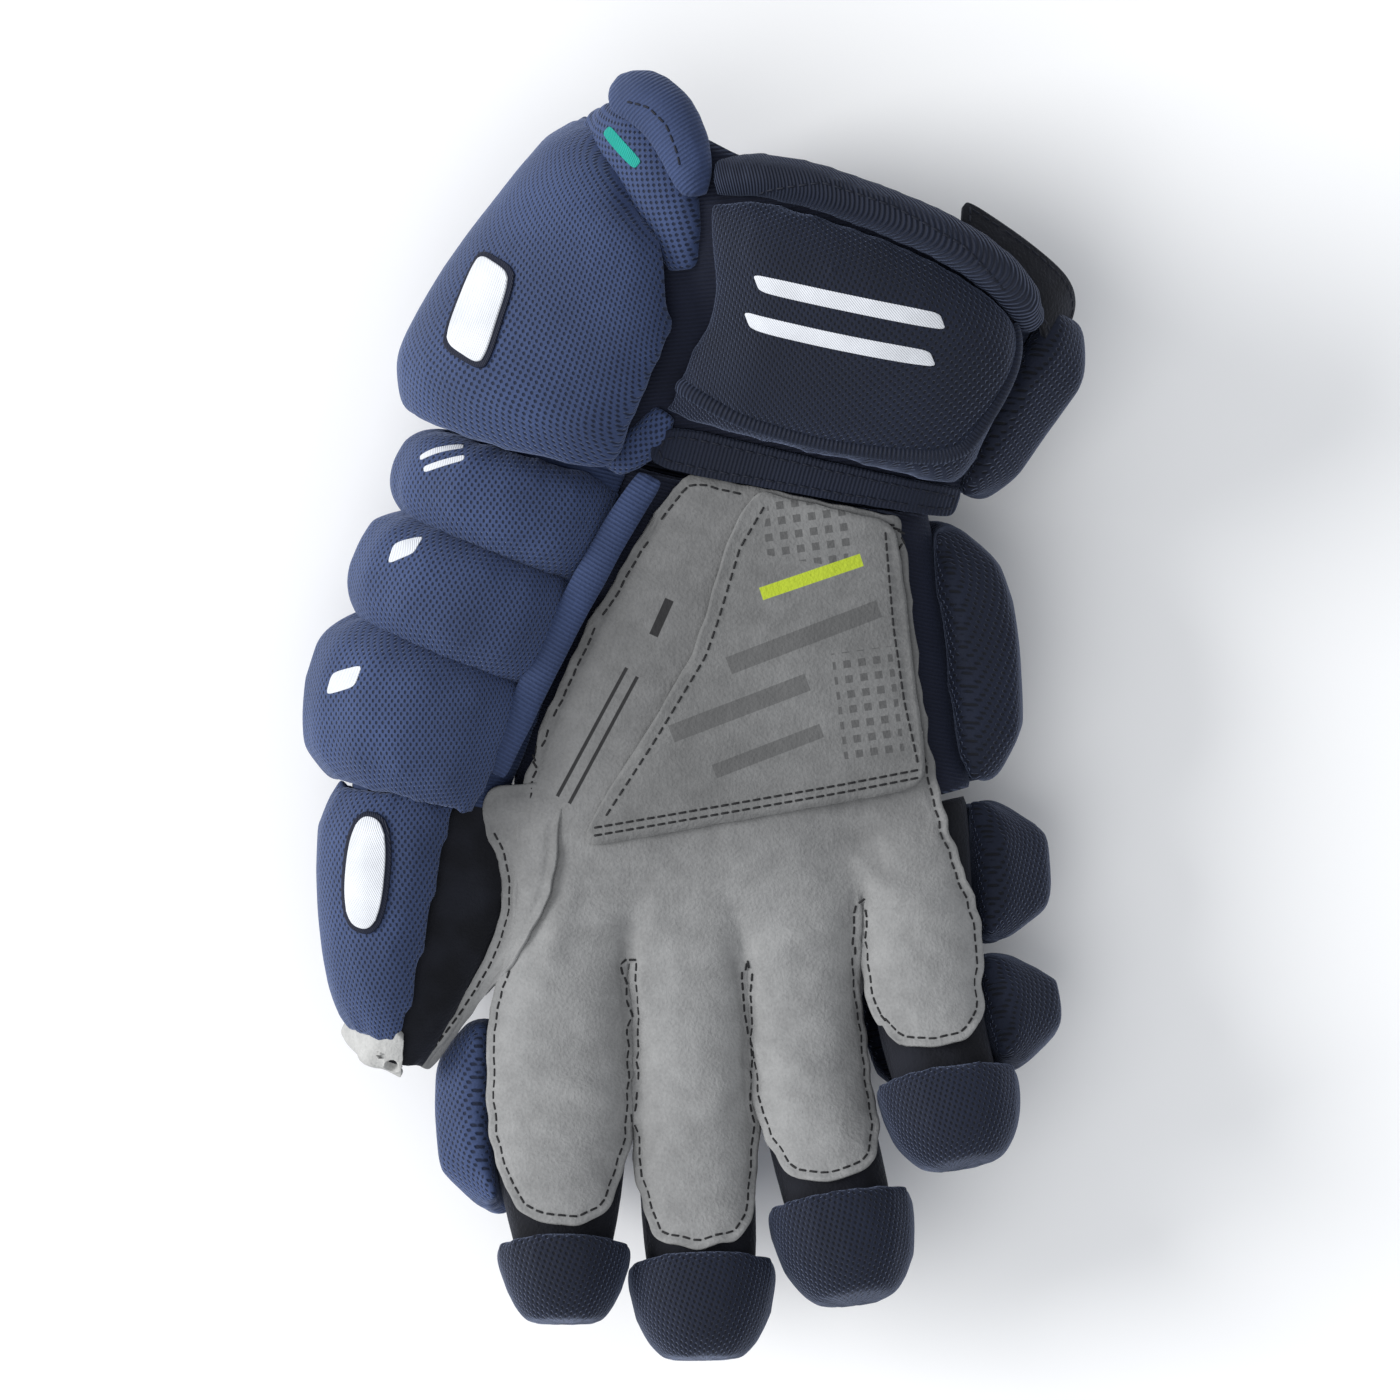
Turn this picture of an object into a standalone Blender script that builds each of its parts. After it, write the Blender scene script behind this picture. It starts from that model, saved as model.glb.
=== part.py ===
"""Ice hockey glove for the right hand, lying on its back with the palm up.

+Y runs from the fingertips to the cuff, +X from the thumb to the little finger, +Z out of the palm.
The origin is on the resting face of the padding on the back of the hand. Lengths are in metres.

The glove is built on tubes: one for the hand, one for each finger, one for the thumb and one for the
cuff. A tube is a short table of rounded sections. Every pad, leather strip and cap lies on its tube's
surface at a named distance, so it follows the tube when a size changes.
"""

import math
from collections import namedtuple

import bmesh
import bpy
from mathutils import Vector
from mathutils.bvhtree import BVHTree

# Overall size. The tables below hold shares of these three.
GLOVE_LENGTH = 0.356
GLOVE_WIDTH = 0.216
GLOVE_DEPTH = 0.105

# Walls of the textile tubes and thickness of the leathers.
SLEEVE_WALL = 0.0025
STALL_WALL = 0.0020
CUFF_WALL = 0.0030
PALM_LEATHER = 0.0014
OVERLAY_LEATHER = 0.0010
THUMB_LEATHER = 0.0014
STRAP_THICKNESS = 0.0018

# Foam thickness of each kind of pad, at its crown.
BACK_FOAM = 0.0175
FINGER_FOAM = 0.0115
INDEX_SIDE_FOAM = 0.0170
PINKY_SIDE_FOAM = 0.0255
SIDE_FOAM = 0.0200
THUMB_ROLL_FOAM = 0.0130
THUMB_BACK_FOAM = 0.0085
CUFF_SIDE_FOAM = 0.0160
CUFF_ROLL_FOAM = 0.0090
CUFF_OUTER_FOAM = 0.0125
CUFF_BACK_FOAM = 0.0140
WRIST_FOAM = 0.0110
BINDING_FOAM = 0.0090
TIP_CAP_WALL = 0.0042

# Trim.
PIPING_WIDTH = 0.0095
PIPING_HEIGHT = 0.0045

# The binding over the palm side of the cuff's mouth: its two ends in degrees, and how far it bows out.
BINDING_FIRST = 26.0
BINDING_LAST = 120.0
BINDING_BOW = 0.15

# Clearances between pieces that lie against each other.
SEAT = 0.0008
CUFF_SEAT = 0.0010
CUFF_SIDE_SEAT = 0.0020
PALM_SEAT = 0.0018
LEATHER_SEAT = 0.0004
SEAM = 0.0010

# Slant of the two seams across the glove, in degrees.
WRIST_SLANT = -9.5
KNUCKLE_SLANT = 14.0

Section = namedtuple("Section", "x y z half_width half_depth yaw roundness")
PadRow = namedtuple("PadRow", "station first last foam")


def wrist_line(x):
    """Share of the length at which the wrist seam crosses the share x of the width."""
    slope = math.tan(math.radians(WRIST_SLANT)) * GLOVE_WIDTH / GLOVE_LENGTH
    return 0.1740 + slope * (x - 0.093)


def knuckle_line(x):
    """Share of the length at which the knuckle seam crosses the share x of the width."""
    slope = math.tan(math.radians(KNUCKLE_SLANT)) * GLOVE_WIDTH / GLOVE_LENGTH
    return -0.1520 + slope * (x + 0.171)


def on_seam(line, rows, seam_row):
    """The rows with one of them moved along the glove onto a seam."""
    moved = list(rows)
    moved[seam_row] = rows[seam_row]._replace(y=line(rows[seam_row].x))
    return moved


# Sections of the inside of each tube. x and half_width are shares of the width, y of the length,
# z and half_depth of the depth.
HAND = on_seam(knuckle_line, on_seam(wrist_line, [
    Section(0.092, 0.185, 0.400, 0.202, 0.162, WRIST_SLANT, 2.6),
    Section(0.064, 0.118, 0.365, 0.240, 0.162, -5.0, 2.7),
    Section(0.050, 0.014, 0.345, 0.275, 0.162, 5.0, 2.8),
    Section(0.046, -0.062, 0.340, 0.292, 0.154, 10.0, 3.0),
    Section(0.055, -0.120, 0.343, 0.308, 0.143, KNUCKLE_SLANT, 3.4),
], 0), 4)

INDEX = on_seam(knuckle_line, [
    Section(-0.171, -0.169, 0.343, 0.072, 0.133, KNUCKLE_SLANT, 3.0),
    Section(-0.184, -0.253, 0.343, 0.082, 0.129, 0.0, 2.6),
    Section(-0.185, -0.345, 0.381, 0.083, 0.124, 0.0, 2.5),
    Section(-0.180, -0.408, 0.448, 0.066, 0.119, 0.0, 2.4),
    Section(-0.177, -0.452, 0.500, 0.046, 0.095, 0.0, 2.3),
    Section(-0.176, -0.476, 0.524, 0.026, 0.052, 0.0, 2.2),
], 0)

MIDDLE = on_seam(knuckle_line, [
    Section(-0.009, -0.145, 0.343, 0.060, 0.133, KNUCKLE_SLANT, 3.0),
    Section(-0.009, -0.253, 0.343, 0.061, 0.129, 0.0, 2.6),
    Section(-0.006, -0.360, 0.381, 0.068, 0.124, 1.0, 2.5),
    Section(0.001, -0.438, 0.448, 0.066, 0.119, 2.0, 2.4),
    Section(0.004, -0.484, 0.514, 0.052, 0.095, 2.0, 2.3),
    Section(0.004, -0.503, 0.533, 0.029, 0.052, 2.0, 2.2),
], 0)

RING = on_seam(knuckle_line, [
    Section(0.132, -0.123, 0.343, 0.058, 0.133, KNUCKLE_SLANT, 3.0),
    Section(0.134, -0.239, 0.343, 0.059, 0.129, 4.0, 2.6),
    Section(0.153, -0.330, 0.390, 0.064, 0.124, 7.0, 2.5),
    Section(0.180, -0.396, 0.457, 0.062, 0.119, 8.0, 2.4),
    Section(0.192, -0.438, 0.505, 0.052, 0.095, 8.0, 2.3),
    Section(0.198, -0.457, 0.533, 0.029, 0.052, 8.0, 2.2),
], 0)

PINKY = on_seam(knuckle_line, [
    Section(0.282, -0.098, 0.343, 0.065, 0.129, KNUCKLE_SLANT, 3.0),
    Section(0.289, -0.183, 0.362, 0.065, 0.124, 4.0, 2.6),
    Section(0.300, -0.252, 0.400, 0.062, 0.119, 5.0, 2.5),
    Section(0.322, -0.303, 0.457, 0.060, 0.109, 8.0, 2.4),
    Section(0.332, -0.336, 0.505, 0.049, 0.086, 10.0, 2.3),
    Section(0.338, -0.351, 0.524, 0.028, 0.048, 10.0, 2.2),
], 0)

THUMB = on_seam(wrist_line, [
    Section(-0.185, 0.232, 0.390, 0.122, 0.165, WRIST_SLANT, 2.4),
    Section(-0.262, 0.084, 0.375, 0.126, 0.165, -20.0, 2.4),
    Section(-0.328, 0.000, 0.370, 0.120, 0.160, -16.0, 2.4),
    Section(-0.366, -0.090, 0.375, 0.086, 0.147, -10.0, 2.4),
    Section(-0.378, -0.170, 0.385, 0.071, 0.133, -5.0, 2.4),
    Section(-0.388, -0.243, 0.390, 0.052, 0.109, -8.0, 2.4),
    Section(-0.403, -0.292, 0.390, 0.030, 0.060, -12.0, 2.3),
], 0)

CUFF = on_seam(wrist_line, [
    Section(0.000, 0.200, 0.400, 0.322, 0.184, WRIST_SLANT, 2.6),
    Section(0.060, 0.270, 0.438, 0.308, 0.250, -18.0, 2.5),
    Section(0.125, 0.337, 0.476, 0.296, 0.314, -22.0, 2.4),
    Section(0.185, 0.402, 0.495, 0.296, 0.343, -26.0, 2.4),
], 0)


class Tube:
    """A tube through a table of sections, read at any station from 0, its first row, to 1, its last."""

    def __init__(self, rows):
        self.rows = []
        for row in rows:
            centre = Vector((row.x * GLOVE_WIDTH, row.y * GLOVE_LENGTH, row.z * GLOVE_DEPTH))
            size = (row.half_width * GLOVE_WIDTH, row.half_depth * GLOVE_DEPTH, row.yaw, row.roundness)
            self.rows.append((*centre, *size))
        steps = [math.dist(a[:3], b[:3]) for a, b in zip(self.rows, self.rows[1:])]
        self.length = sum(steps)
        self.knots = [sum(steps[:i]) / self.length for i in range(len(self.rows))]

    def slope(self, i):
        low = max(i - 1, 0)
        high = min(i + 1, len(self.rows) - 1)
        span = self.knots[high] - self.knots[low]
        return [(b - a) / span for a, b in zip(self.rows[low], self.rows[high])]

    def row_at(self, station):
        """The section at a station, on a smooth curve through the table's rows."""
        inside = min(max(station, 0.0), 1.0)
        i = 0
        while i < len(self.knots) - 2 and self.knots[i + 1] < inside:
            i += 1
        span = self.knots[i + 1] - self.knots[i]
        t = (inside - self.knots[i]) / span
        weights = (2 * t**3 - 3 * t**2 + 1, t**3 - 2 * t**2 + t, 3 * t**2 - 2 * t**3, t**3 - t**2)
        row = []
        for a, sa, b, sb in zip(self.rows[i], self.slope(i), self.rows[i + 1], self.slope(i + 1)):
            value = weights[0] * a + weights[1] * sa * span + weights[2] * b + weights[3] * sb * span
            row.append(value)
        beyond = (station - inside) * self.length
        if beyond:
            ahead = self.forward(inside) * beyond
            row[:3] = [row[0] + ahead.x, row[1] + ahead.y, row[2] + ahead.z]
        return row

    def forward(self, station):
        near = min(max(station, 0.01), 0.99)
        a = Vector(self.row_at(near - 0.01)[:3])
        b = Vector(self.row_at(near + 0.01)[:3])
        return (b - a).normalized()

    def base_point(self, station, degrees):
        """A point of the tube's inside. 0 degrees is the little-finger side and 90 the palm."""
        x, y, z, half_width, half_depth, yaw, roundness = self.row_at(station)
        side = Vector((math.cos(math.radians(yaw)), math.sin(math.radians(yaw)), 0.0))
        up = side.cross(self.forward(station)).normalized()
        if up.z < 0.0:
            up = -up
        c = math.cos(math.radians(degrees))
        s = math.sin(math.radians(degrees))
        across = math.copysign(abs(c) ** (2 / roundness), c) * half_width
        above = math.copysign(abs(s) ** (2 / roundness), s) * half_depth
        return Vector((x, y, z)) + side * across + up * above

    def point(self, station, degrees, lift=0.0):
        """A point at the distance lift outside the tube's inner surface."""
        base = self.base_point(station, degrees)
        if not lift:
            return base
        step = 0.004
        turn = 2.0
        along = self.base_point(station + step, degrees) - self.base_point(station - step, degrees)
        around = self.base_point(station, degrees + turn) - self.base_point(station, degrees - turn)
        normal = along.cross(around).normalized()
        centre = Vector(self.row_at(station)[:3])
        if normal.dot(base - centre) < 0.0:
            normal = -normal
        return base + normal * lift

    def station_of(self, metres):
        return metres / self.length


HAND_TUBE = Tube(HAND)
THUMB_TUBE = Tube(THUMB)
CUFF_TUBE = Tube(CUFF)
FINGER_TUBES = {"index": Tube(INDEX), "middle": Tube(MIDDLE), "ring": Tube(RING), "pinky": Tube(PINKY)}

GLOVE = bpy.data.collections.new("ice_hockey_glove")
CUTTERS = bpy.data.collections.new("cutters")


def material(name, colour, roughness):
    made = bpy.data.materials.new(name)
    made.use_nodes = True
    shader = made.node_tree.nodes["Principled BSDF"]
    shader.inputs["Base Color"].default_value = (*colour, 1.0)
    shader.inputs["Roughness"].default_value = roughness
    shader.inputs["Metallic"].default_value = 0.0
    return made


FINISHES = {
    "mesh_fabric": ((0.030, 0.042, 0.100), 0.85),
    "plain_fabric": ((0.018, 0.026, 0.062), 0.80),
    "gusset_fabric": ((0.008, 0.009, 0.013), 0.90),
    "grey_leather": ((0.400, 0.400, 0.390), 0.90),
}


def add_object(name, mesh, finish, smooth_degrees=50.0):
    """One named piece with a material of its own, shaded smooth up to an angle."""
    colour, roughness = FINISHES[finish]
    made = bpy.data.objects.new(name, mesh)
    GLOVE.objects.link(made)
    mesh.materials.append(material(f"{name}_{finish}", colour, roughness))
    mesh.shade_smooth()
    mesh.set_sharp_from_angle(angle=math.radians(smooth_degrees))
    return made


def add_cutter(name, mesh):
    made = bpy.data.objects.new(name, mesh)
    made.hide_render = True
    made.display_type = "WIRE"
    CUTTERS.objects.link(made)
    return made


def mesh_from(name, build):
    """A mesh from a function that fills a bmesh, with its faces turned outward."""
    work = bmesh.new()
    build(work)
    bmesh.ops.recalc_face_normals(work, faces=work.faces)
    mesh = bpy.data.meshes.new(name)
    work.to_mesh(mesh)
    work.free()
    return mesh


def grid_of(work, rows):
    return [[work.verts.new(point) for point in row] for row in rows]


def bridge(work, first, second, closed):
    """Quads between two rows of vertices."""
    count = len(first)
    for i in range(count if closed else count - 1):
        j = (i + 1) % count
        work.faces.new((first[i], first[j], second[j], second[i]))


def spread(first, last, count):
    return [first + (last - first) * i / (count - 1) for i in range(count)]


def ring(tube, station, lift, segments):
    return [tube.point(station, 360.0 * i / segments, lift) for i in range(segments)]


def tube_mesh(name, tube, stations, segments, lift=0.0, close_start=False, close_end=False):
    """The tube's surface at a distance, open at both ends unless an end is closed."""

    def build(work):
        rings = grid_of(work, [ring(tube, station, lift, segments) for station in stations])
        for first, second in zip(rings, rings[1:]):
            bridge(work, first, second, closed=True)
        if close_start:
            work.faces.new(rings[0])
        if close_end:
            work.faces.new(rings[-1])

    return mesh_from(name, build)


def thicken(made, thickness):
    """Gives an open surface its wall, on the side that its faces point to."""
    solidify = made.modifiers.new("wall", "SOLIDIFY")
    solidify.thickness = thickness
    solidify.offset = 1.0
    return made


def cut(made, cutter):
    boolean = made.modifiers.new("cut", "BOOLEAN")
    boolean.operation = "DIFFERENCE"
    boolean.solver = "EXACT"
    boolean.object = cutter


def turn_outward(mesh, outward):
    """Turns an open surface so that its faces point along outward."""
    total = sum((face.normal * face.area for face in mesh.polygons), Vector())
    if total.dot(outward) < 0.0:
        mesh.flip_normals()


def turn_from_axis(mesh, tube):
    """Turns an open tube so that its faces point away from its axis."""
    centre = Vector(tube.row_at(0.5)[:3])
    score = sum((face.center - centre).dot(face.normal) * face.area for face in mesh.polygons)
    if score < 0.0:
        mesh.flip_normals()


def add_tube_shell(name, tube, stations, segments, wall, finish, close_end=False):
    mesh = tube_mesh(name, tube, stations, segments, close_end=close_end)
    turn_from_axis(mesh, tube)
    return thicken(add_object(name, mesh, finish), wall)


def crown(share, sharpness, edge):
    """Height of a padded profile across its width: edge at the borders and 1 in the middle."""
    return edge + (1.0 - edge) * (1.0 - abs(2.0 * share - 1.0) ** sharpness) ** 0.5


def rows_between(rows, station):
    """A pad's borders and foam at a station, straight between its table's rows."""
    for low, high in zip(rows, rows[1:]):
        if station <= high.station or high is rows[-1]:
            t = (station - low.station) / (high.station - low.station)
            return [a + (b - a) * t for a, b in zip(low, high)]


def add_pad(
    name, tube, rows, lift, finish,
    across=8, along=4, sharpness=3.0, edge=0.35, end_sharpness=3.0, end_edge=0.35,
    slants=(0.0, 0.0), bows=(0.0, 0.0),
):
    """A foam pad wrapped on a tube, thin at its borders and full in the middle.

    rows give its first and last angle and its foam at stations of the tube. slants tilt and bows arch
    its near and its far end, as shares of the tube. Nothing of it reaches below the resting plane.
    """

    def build(work):
        inner = []
        outer = []
        for v in spread(0.0, 1.0, along + 1):
            station = rows[0].station + (rows[-1].station - rows[0].station) * v
            _, first, last, foam = rows_between(rows, station)
            inner_row = []
            outer_row = []
            for u in spread(0.0, 1.0, across + 1):
                degrees = first + (last - first) * u
                slant = slants[0] + (slants[1] - slants[0]) * v
                bow = bows[0] + (bows[1] - bows[0]) * v
                here = station + slant * (u - 0.5) + bow * (1.0 - (2.0 * u - 1.0) ** 2)
                height = foam * crown(u, sharpness, edge) * crown(v, end_sharpness, end_edge)
                near = tube.point(here, degrees, lift)
                far = tube.point(here, degrees, lift + height)
                far.z = max(far.z, 0.0)
                inner_row.append(near)
                outer_row.append(far)
            inner.append(inner_row)
            outer.append(outer_row)
        low = grid_of(work, inner)
        high = grid_of(work, outer)
        for grid in (low, high):
            for one, two in zip(grid, grid[1:]):
                bridge(work, one, two, closed=False)
        for border in (0, -1):
            bridge(work, low[border], high[border], closed=False)
            bridge(work, [row[border] for row in low], [row[border] for row in high], closed=False)

    return add_object(name, mesh_from(name, build), finish)


def add_tubes():
    """The sleeve of the hand, the finger and thumb stalls and the cuff's shell."""
    sleeve_gap = SEAM / 2
    start = HAND_TUBE.station_of(sleeve_gap)
    sleeve = add_tube_shell(
        "hand_sleeve", HAND_TUBE, spread(start, 1.0 - start, 8), 24, SLEEVE_WALL, "plain_fabric"
    )
    for finger, tube in FINGER_TUBES.items():
        tip = 1.0 - tube.station_of(STALL_WALL + SEAT)
        stations = [tube.station_of(sleeve_gap), 0.16, 0.34, 0.52, 0.68, 0.80, 0.90, 0.96, tip]
        add_tube_shell(
            f"{finger}_stall", tube, stations, 16, STALL_WALL, "gusset_fabric", close_end=True
        )

    thumb_start = THUMB_TUBE.station_of(3 * sleeve_gap)
    thumb_tip = 1.0 - THUMB_TUBE.station_of(STALL_WALL + SEAT)
    stations = [thumb_start, 0.08, 0.16, 0.24, 0.32, 0.40, 0.49, 0.58, 0.67, 0.76, 0.87, 0.95, thumb_tip]
    thumb = add_tube_shell(
        "thumb_stall", THUMB_TUBE, stations, 20, STALL_WALL, "gusset_fabric", close_end=True
    )
    beyond = spread(-0.1, 1.1, 11)
    hand_form = tube_mesh(
        "hand_form", HAND_TUBE, beyond, 24, lift=SLEEVE_WALL + LEATHER_SEAT, close_start=True, close_end=True
    )
    cut(thumb, add_cutter("hand_form", hand_form))
    inside = [-0.1, 0.0, 0.08, 0.16, 0.24, 0.32, 0.40, 0.46]
    thumb_form = tube_mesh("thumb_form", THUMB_TUBE, inside, 20, close_start=True, close_end=True)
    cut(sleeve, add_cutter("thumb_form", thumb_form))

    cuff_start = CUFF_TUBE.station_of(2 * SEAM)
    add_tube_shell(
        "cuff_shell", CUFF_TUBE, spread(cuff_start, 1.0, 6), 36, CUFF_WALL, "plain_fabric"
    )


def add_hand_padding():
    """Rolls on the back of the hand, which the glove lies on, and the pad on its outer edge."""
    lift = SLEEVE_WALL + SEAT
    bands = [(0.02, 0.36), (0.375, 0.70), (0.715, 0.985)]
    for number, (low, high) in enumerate(bands, start=1):
        rows = [PadRow(low, 224.0, 292.0, BACK_FOAM), PadRow(high, 224.0, 292.0, BACK_FOAM)]
        add_pad(
            f"back_roll_{number}", HAND_TUBE, rows, lift, "mesh_fabric", sharpness=6.0, end_sharpness=6.0
        )
    rows = [
        PadRow(0.07, -58.0, 18.0, SIDE_FOAM * 0.80),
        PadRow(0.40, -58.0, 20.0, SIDE_FOAM),
        PadRow(0.985, -58.0, 20.0, SIDE_FOAM * 0.9),
    ]
    add_pad(
        "side_pad", HAND_TUBE, rows, lift, "mesh_fabric", across=6, along=6, end_sharpness=7.0
    )


def add_finger_padding():
    """Two pads on the back of each finger, and the cap over its tip."""
    lift = STALL_WALL + SEAT
    reach = {
        "index": (160.0, 312.0, INDEX_SIDE_FOAM),
        "middle": (231.0, 309.0, FINGER_FOAM),
        "ring": (231.0, 309.0, FINGER_FOAM),
        "pinky": (226.0, 376.0, PINKY_SIDE_FOAM),
    }
    cap_start = {"index": 0.855, "middle": 0.845, "ring": 0.82, "pinky": 0.80}
    pads_end = {**cap_start, "index": 0.77}
    knuckle = {"index": 0.30, "middle": 0.448, "ring": 0.435, "pinky": 0.424}
    for finger, tube in FINGER_TUBES.items():
        first, last, foam = reach[finger]
        cap = cap_start[finger]
        middle = knuckle[finger]
        gap = tube.station_of(2 * SEAM)
        bands = [(tube.station_of(3 * SEAM), middle - gap), (middle + gap, pads_end[finger] - gap)]
        for number, (low, high) in enumerate(bands, start=1):
            start = max(first, 222.0) if number == 1 else first
            rows = [PadRow(low, start, last, foam), PadRow(high, start, last, foam)]
            add_pad(f"{finger}_pad_{number}", tube, rows, lift, "mesh_fabric", across=7, end_sharpness=5.0)
        stations = [cap, 0.88, 0.94, 0.975, 1.0]
        mesh = tube_mesh(f"{finger}_tip_cap", tube, stations, 16, lift=lift, close_end=True)
        turn_from_axis(mesh, tube)
        thicken(add_object(f"{finger}_tip_cap", mesh, "mesh_fabric"), TIP_CAP_WALL)


def add_thumb_padding():
    """Three rolls over the base of the thumb, the pad on its back and the leather along its inner side."""
    lift = STALL_WALL + SEAT
    bands = [(0.026, 0.170, 61.0), (0.183, 0.347, 64.0), (0.360, 0.562, 66.0)]
    for number, (low, high, first) in enumerate(bands, start=1):
        rows = [
            PadRow(low, first, 256.0, THUMB_ROLL_FOAM),
            PadRow(high, first, 256.0, THUMB_ROLL_FOAM),
        ]
        add_pad(
            f"thumb_roll_{number}", THUMB_TUBE, rows, lift, "mesh_fabric",
            across=9, along=5, sharpness=2.6, end_sharpness=2.8, slants=(-0.03, -0.03),
        )
    rows = [
        PadRow(0.577, 64.0, 262.0, THUMB_BACK_FOAM * 1.1),
        PadRow(0.80, 74.0, 276.0, THUMB_BACK_FOAM),
        PadRow(0.955, 84.0, 276.0, THUMB_BACK_FOAM * 0.8),
    ]
    add_pad("thumb_back_pad", THUMB_TUBE, rows, lift, "mesh_fabric", across=9, along=6)


def add_thumb_leather():
    """A sheet along the thumb's inner side, and the leather folded over its tip."""
    lift = STALL_WALL + SEAT

    def strip(work):
        rows = []
        for station in spread(0.60, 0.93, 7):
            rows.append([THUMB_TUBE.point(station, degrees, lift) for degrees in spread(-58.0, 34.0, 6)])
        grid = grid_of(work, rows)
        for one, two in zip(grid, grid[1:]):
            bridge(work, one, two, closed=False)

    mesh = mesh_from("thumb_leather", strip)
    turn_outward(mesh, Vector((1.0, 0.0, 0.0)))
    thicken(add_object("thumb_leather", mesh, "grey_leather"), THUMB_LEATHER)

    stations = [0.962, 0.985, 1.0]
    mesh = tube_mesh("thumb_tip_fold", THUMB_TUBE, stations, 14, lift=lift, close_end=True)
    turn_from_axis(mesh, THUMB_TUBE)
    thicken(add_object("thumb_tip_fold", mesh, "grey_leather"), THUMB_LEATHER)


def add_cuff_padding():
    """Pads round the cuff: thumb side, two rolls at the mouth, palm side, outer side and back."""
    lift = CUFF_WALL + CUFF_SEAT
    rows = [
        PadRow(0.015, 104.0, 226.0, CUFF_SIDE_FOAM * 1.4),
        PadRow(0.50, 105.0, 226.0, CUFF_SIDE_FOAM),
        PadRow(0.70, 120.0, 222.0, CUFF_SIDE_FOAM * 0.9),
        PadRow(0.90, 160.0, 216.0, CUFF_SIDE_FOAM * 0.7),
    ]
    add_pad(
        "cuff_side_pad", CUFF_TUBE, rows, CUFF_WALL + CUFF_SIDE_SEAT, "mesh_fabric",
        across=13, along=8, sharpness=2.4, end_sharpness=7.0, end_edge=0.6, slants=(0.0, 0.04),
    )
    rows = [
        PadRow(0.78, 116.0, 123.0, CUFF_ROLL_FOAM),
        PadRow(0.93, 124.0, 150.0, CUFF_ROLL_FOAM),
        PadRow(1.11, 136.0, 179.0, CUFF_ROLL_FOAM * 1.2),
    ]
    add_pad("cuff_roll_upper", CUFF_TUBE, rows, lift, "plain_fabric", across=6, along=6)
    rows = [
        PadRow(0.78, 126.0, 128.5, CUFF_ROLL_FOAM),
        PadRow(0.93, 153.5, 158.5, CUFF_ROLL_FOAM),
        PadRow(1.04, 183.0, 206.0, CUFF_ROLL_FOAM * 1.2),
    ]
    add_pad("cuff_roll_lower", CUFF_TUBE, rows, lift, "mesh_fabric", across=6, along=6)
    rows = [
        PadRow(0.17, 22.0, 98.0, WRIST_FOAM),
        PadRow(0.55, 22.0, 99.0, WRIST_FOAM),
        PadRow(0.80, 26.0, 112.0, WRIST_FOAM),
    ]
    add_pad(
        "wrist_pad", CUFF_TUBE, rows, lift, "mesh_fabric",
        across=8, along=6, sharpness=7.0, edge=0.5, end_sharpness=7.0, end_edge=0.5, bows=(0.0, 0.10),
    )
    rows = [
        PadRow(0.82, BINDING_FIRST, BINDING_LAST - 7.0, BINDING_FOAM),
        PadRow(0.95, BINDING_FIRST, BINDING_LAST, BINDING_FOAM),
    ]
    add_pad(
        "wrist_binding", CUFF_TUBE, rows, lift, "plain_fabric",
        across=8, along=3, sharpness=7.0, edge=0.5, bows=(0.10, BINDING_BOW),
    )
    rows = [
        PadRow(0.10, -62.0, 14.0, CUFF_OUTER_FOAM),
        PadRow(0.95, -62.0, 16.0, CUFF_OUTER_FOAM * 1.7),
    ]
    add_pad(
        "cuff_outer_pad", CUFF_TUBE, rows, lift, "mesh_fabric",
        across=6, along=5, end_sharpness=7.0, end_edge=0.5,
    )
    rows = [
        PadRow(0.05, 231.0, 293.0, CUFF_BACK_FOAM),
        PadRow(0.98, 231.0, 293.0, CUFF_BACK_FOAM),
    ]
    add_pad(
        "cuff_back_pad", CUFF_TUBE, rows, lift, "mesh_fabric",
        across=8, along=5, sharpness=6.0, end_sharpness=6.0,
    )


def add_cuff_trim():
    """The band across the wrist and the closing strap."""
    lift = CUFF_WALL + SEAT

    def band_grid(stations, first, last, count, bow=0.0):
        """A band between two angles, bowed along the cuff as the binding beside it is."""

        def bowed(degrees):
            share = (degrees - BINDING_FIRST) / (BINDING_LAST - BINDING_FIRST)
            return bow * max(0.0, 1.0 - (2.0 * share - 1.0) ** 2)

        def build(work):
            angles = spread(first, last, count)
            rows = [[CUFF_TUBE.point(s + bowed(d), d, lift) for d in angles] for s in stations]
            grid = grid_of(work, rows)
            for one, two in zip(grid, grid[1:]):
                bridge(work, one, two, closed=False)

        return build

    mesh = mesh_from("wrist_band", band_grid(spread(0.01, 0.145, 3), 14.0, 98.0, 9))
    turn_outward(mesh, Vector((0.0, 0.0, 1.0)))
    thicken(add_object("wrist_band", mesh, "plain_fabric"), STRAP_THICKNESS)
    mesh = mesh_from("cuff_strap", band_grid(spread(0.975, 1.09, 3), -24.0, 62.0, 11, BINDING_BOW))
    turn_outward(mesh, Vector((0.5, 0.0, 1.0)))
    thicken(add_object("cuff_strap", mesh, "gusset_fabric"), STRAP_THICKNESS)


# Palm leather in plan: its thumb edge and its little-finger edge, row by row from the wrist. x is a
# share of the width and y of the length.
PalmRow = namedtuple("PalmRow", "left_x left_y right_x right_y")
PALM_ROWS = [
    PalmRow(-0.020, 0.178, 0.262, 0.142),
    PalmRow(-0.106, 0.101, 0.272, 0.079),
    PalmRow(-0.176, 0.022, 0.284, 0.011),
    PalmRow(-0.225, -0.056, 0.299, -0.042),
    PalmRow(-0.236, -0.104, 0.310, -0.074),
    PalmRow(-0.240, -0.150, 0.324, -0.102),
]
# Where the slits between the finger strips begin, with both outer edges.
PlanPoint = namedtuple("PlanPoint", "x y")
SLIT_TOPS = [
    PlanPoint(-0.244, -0.196),
    PlanPoint(-0.095, -0.188),
    PlanPoint(0.061, -0.187),
    PlanPoint(0.213, -0.140),
    PlanPoint(0.338, -0.130),
]
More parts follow.
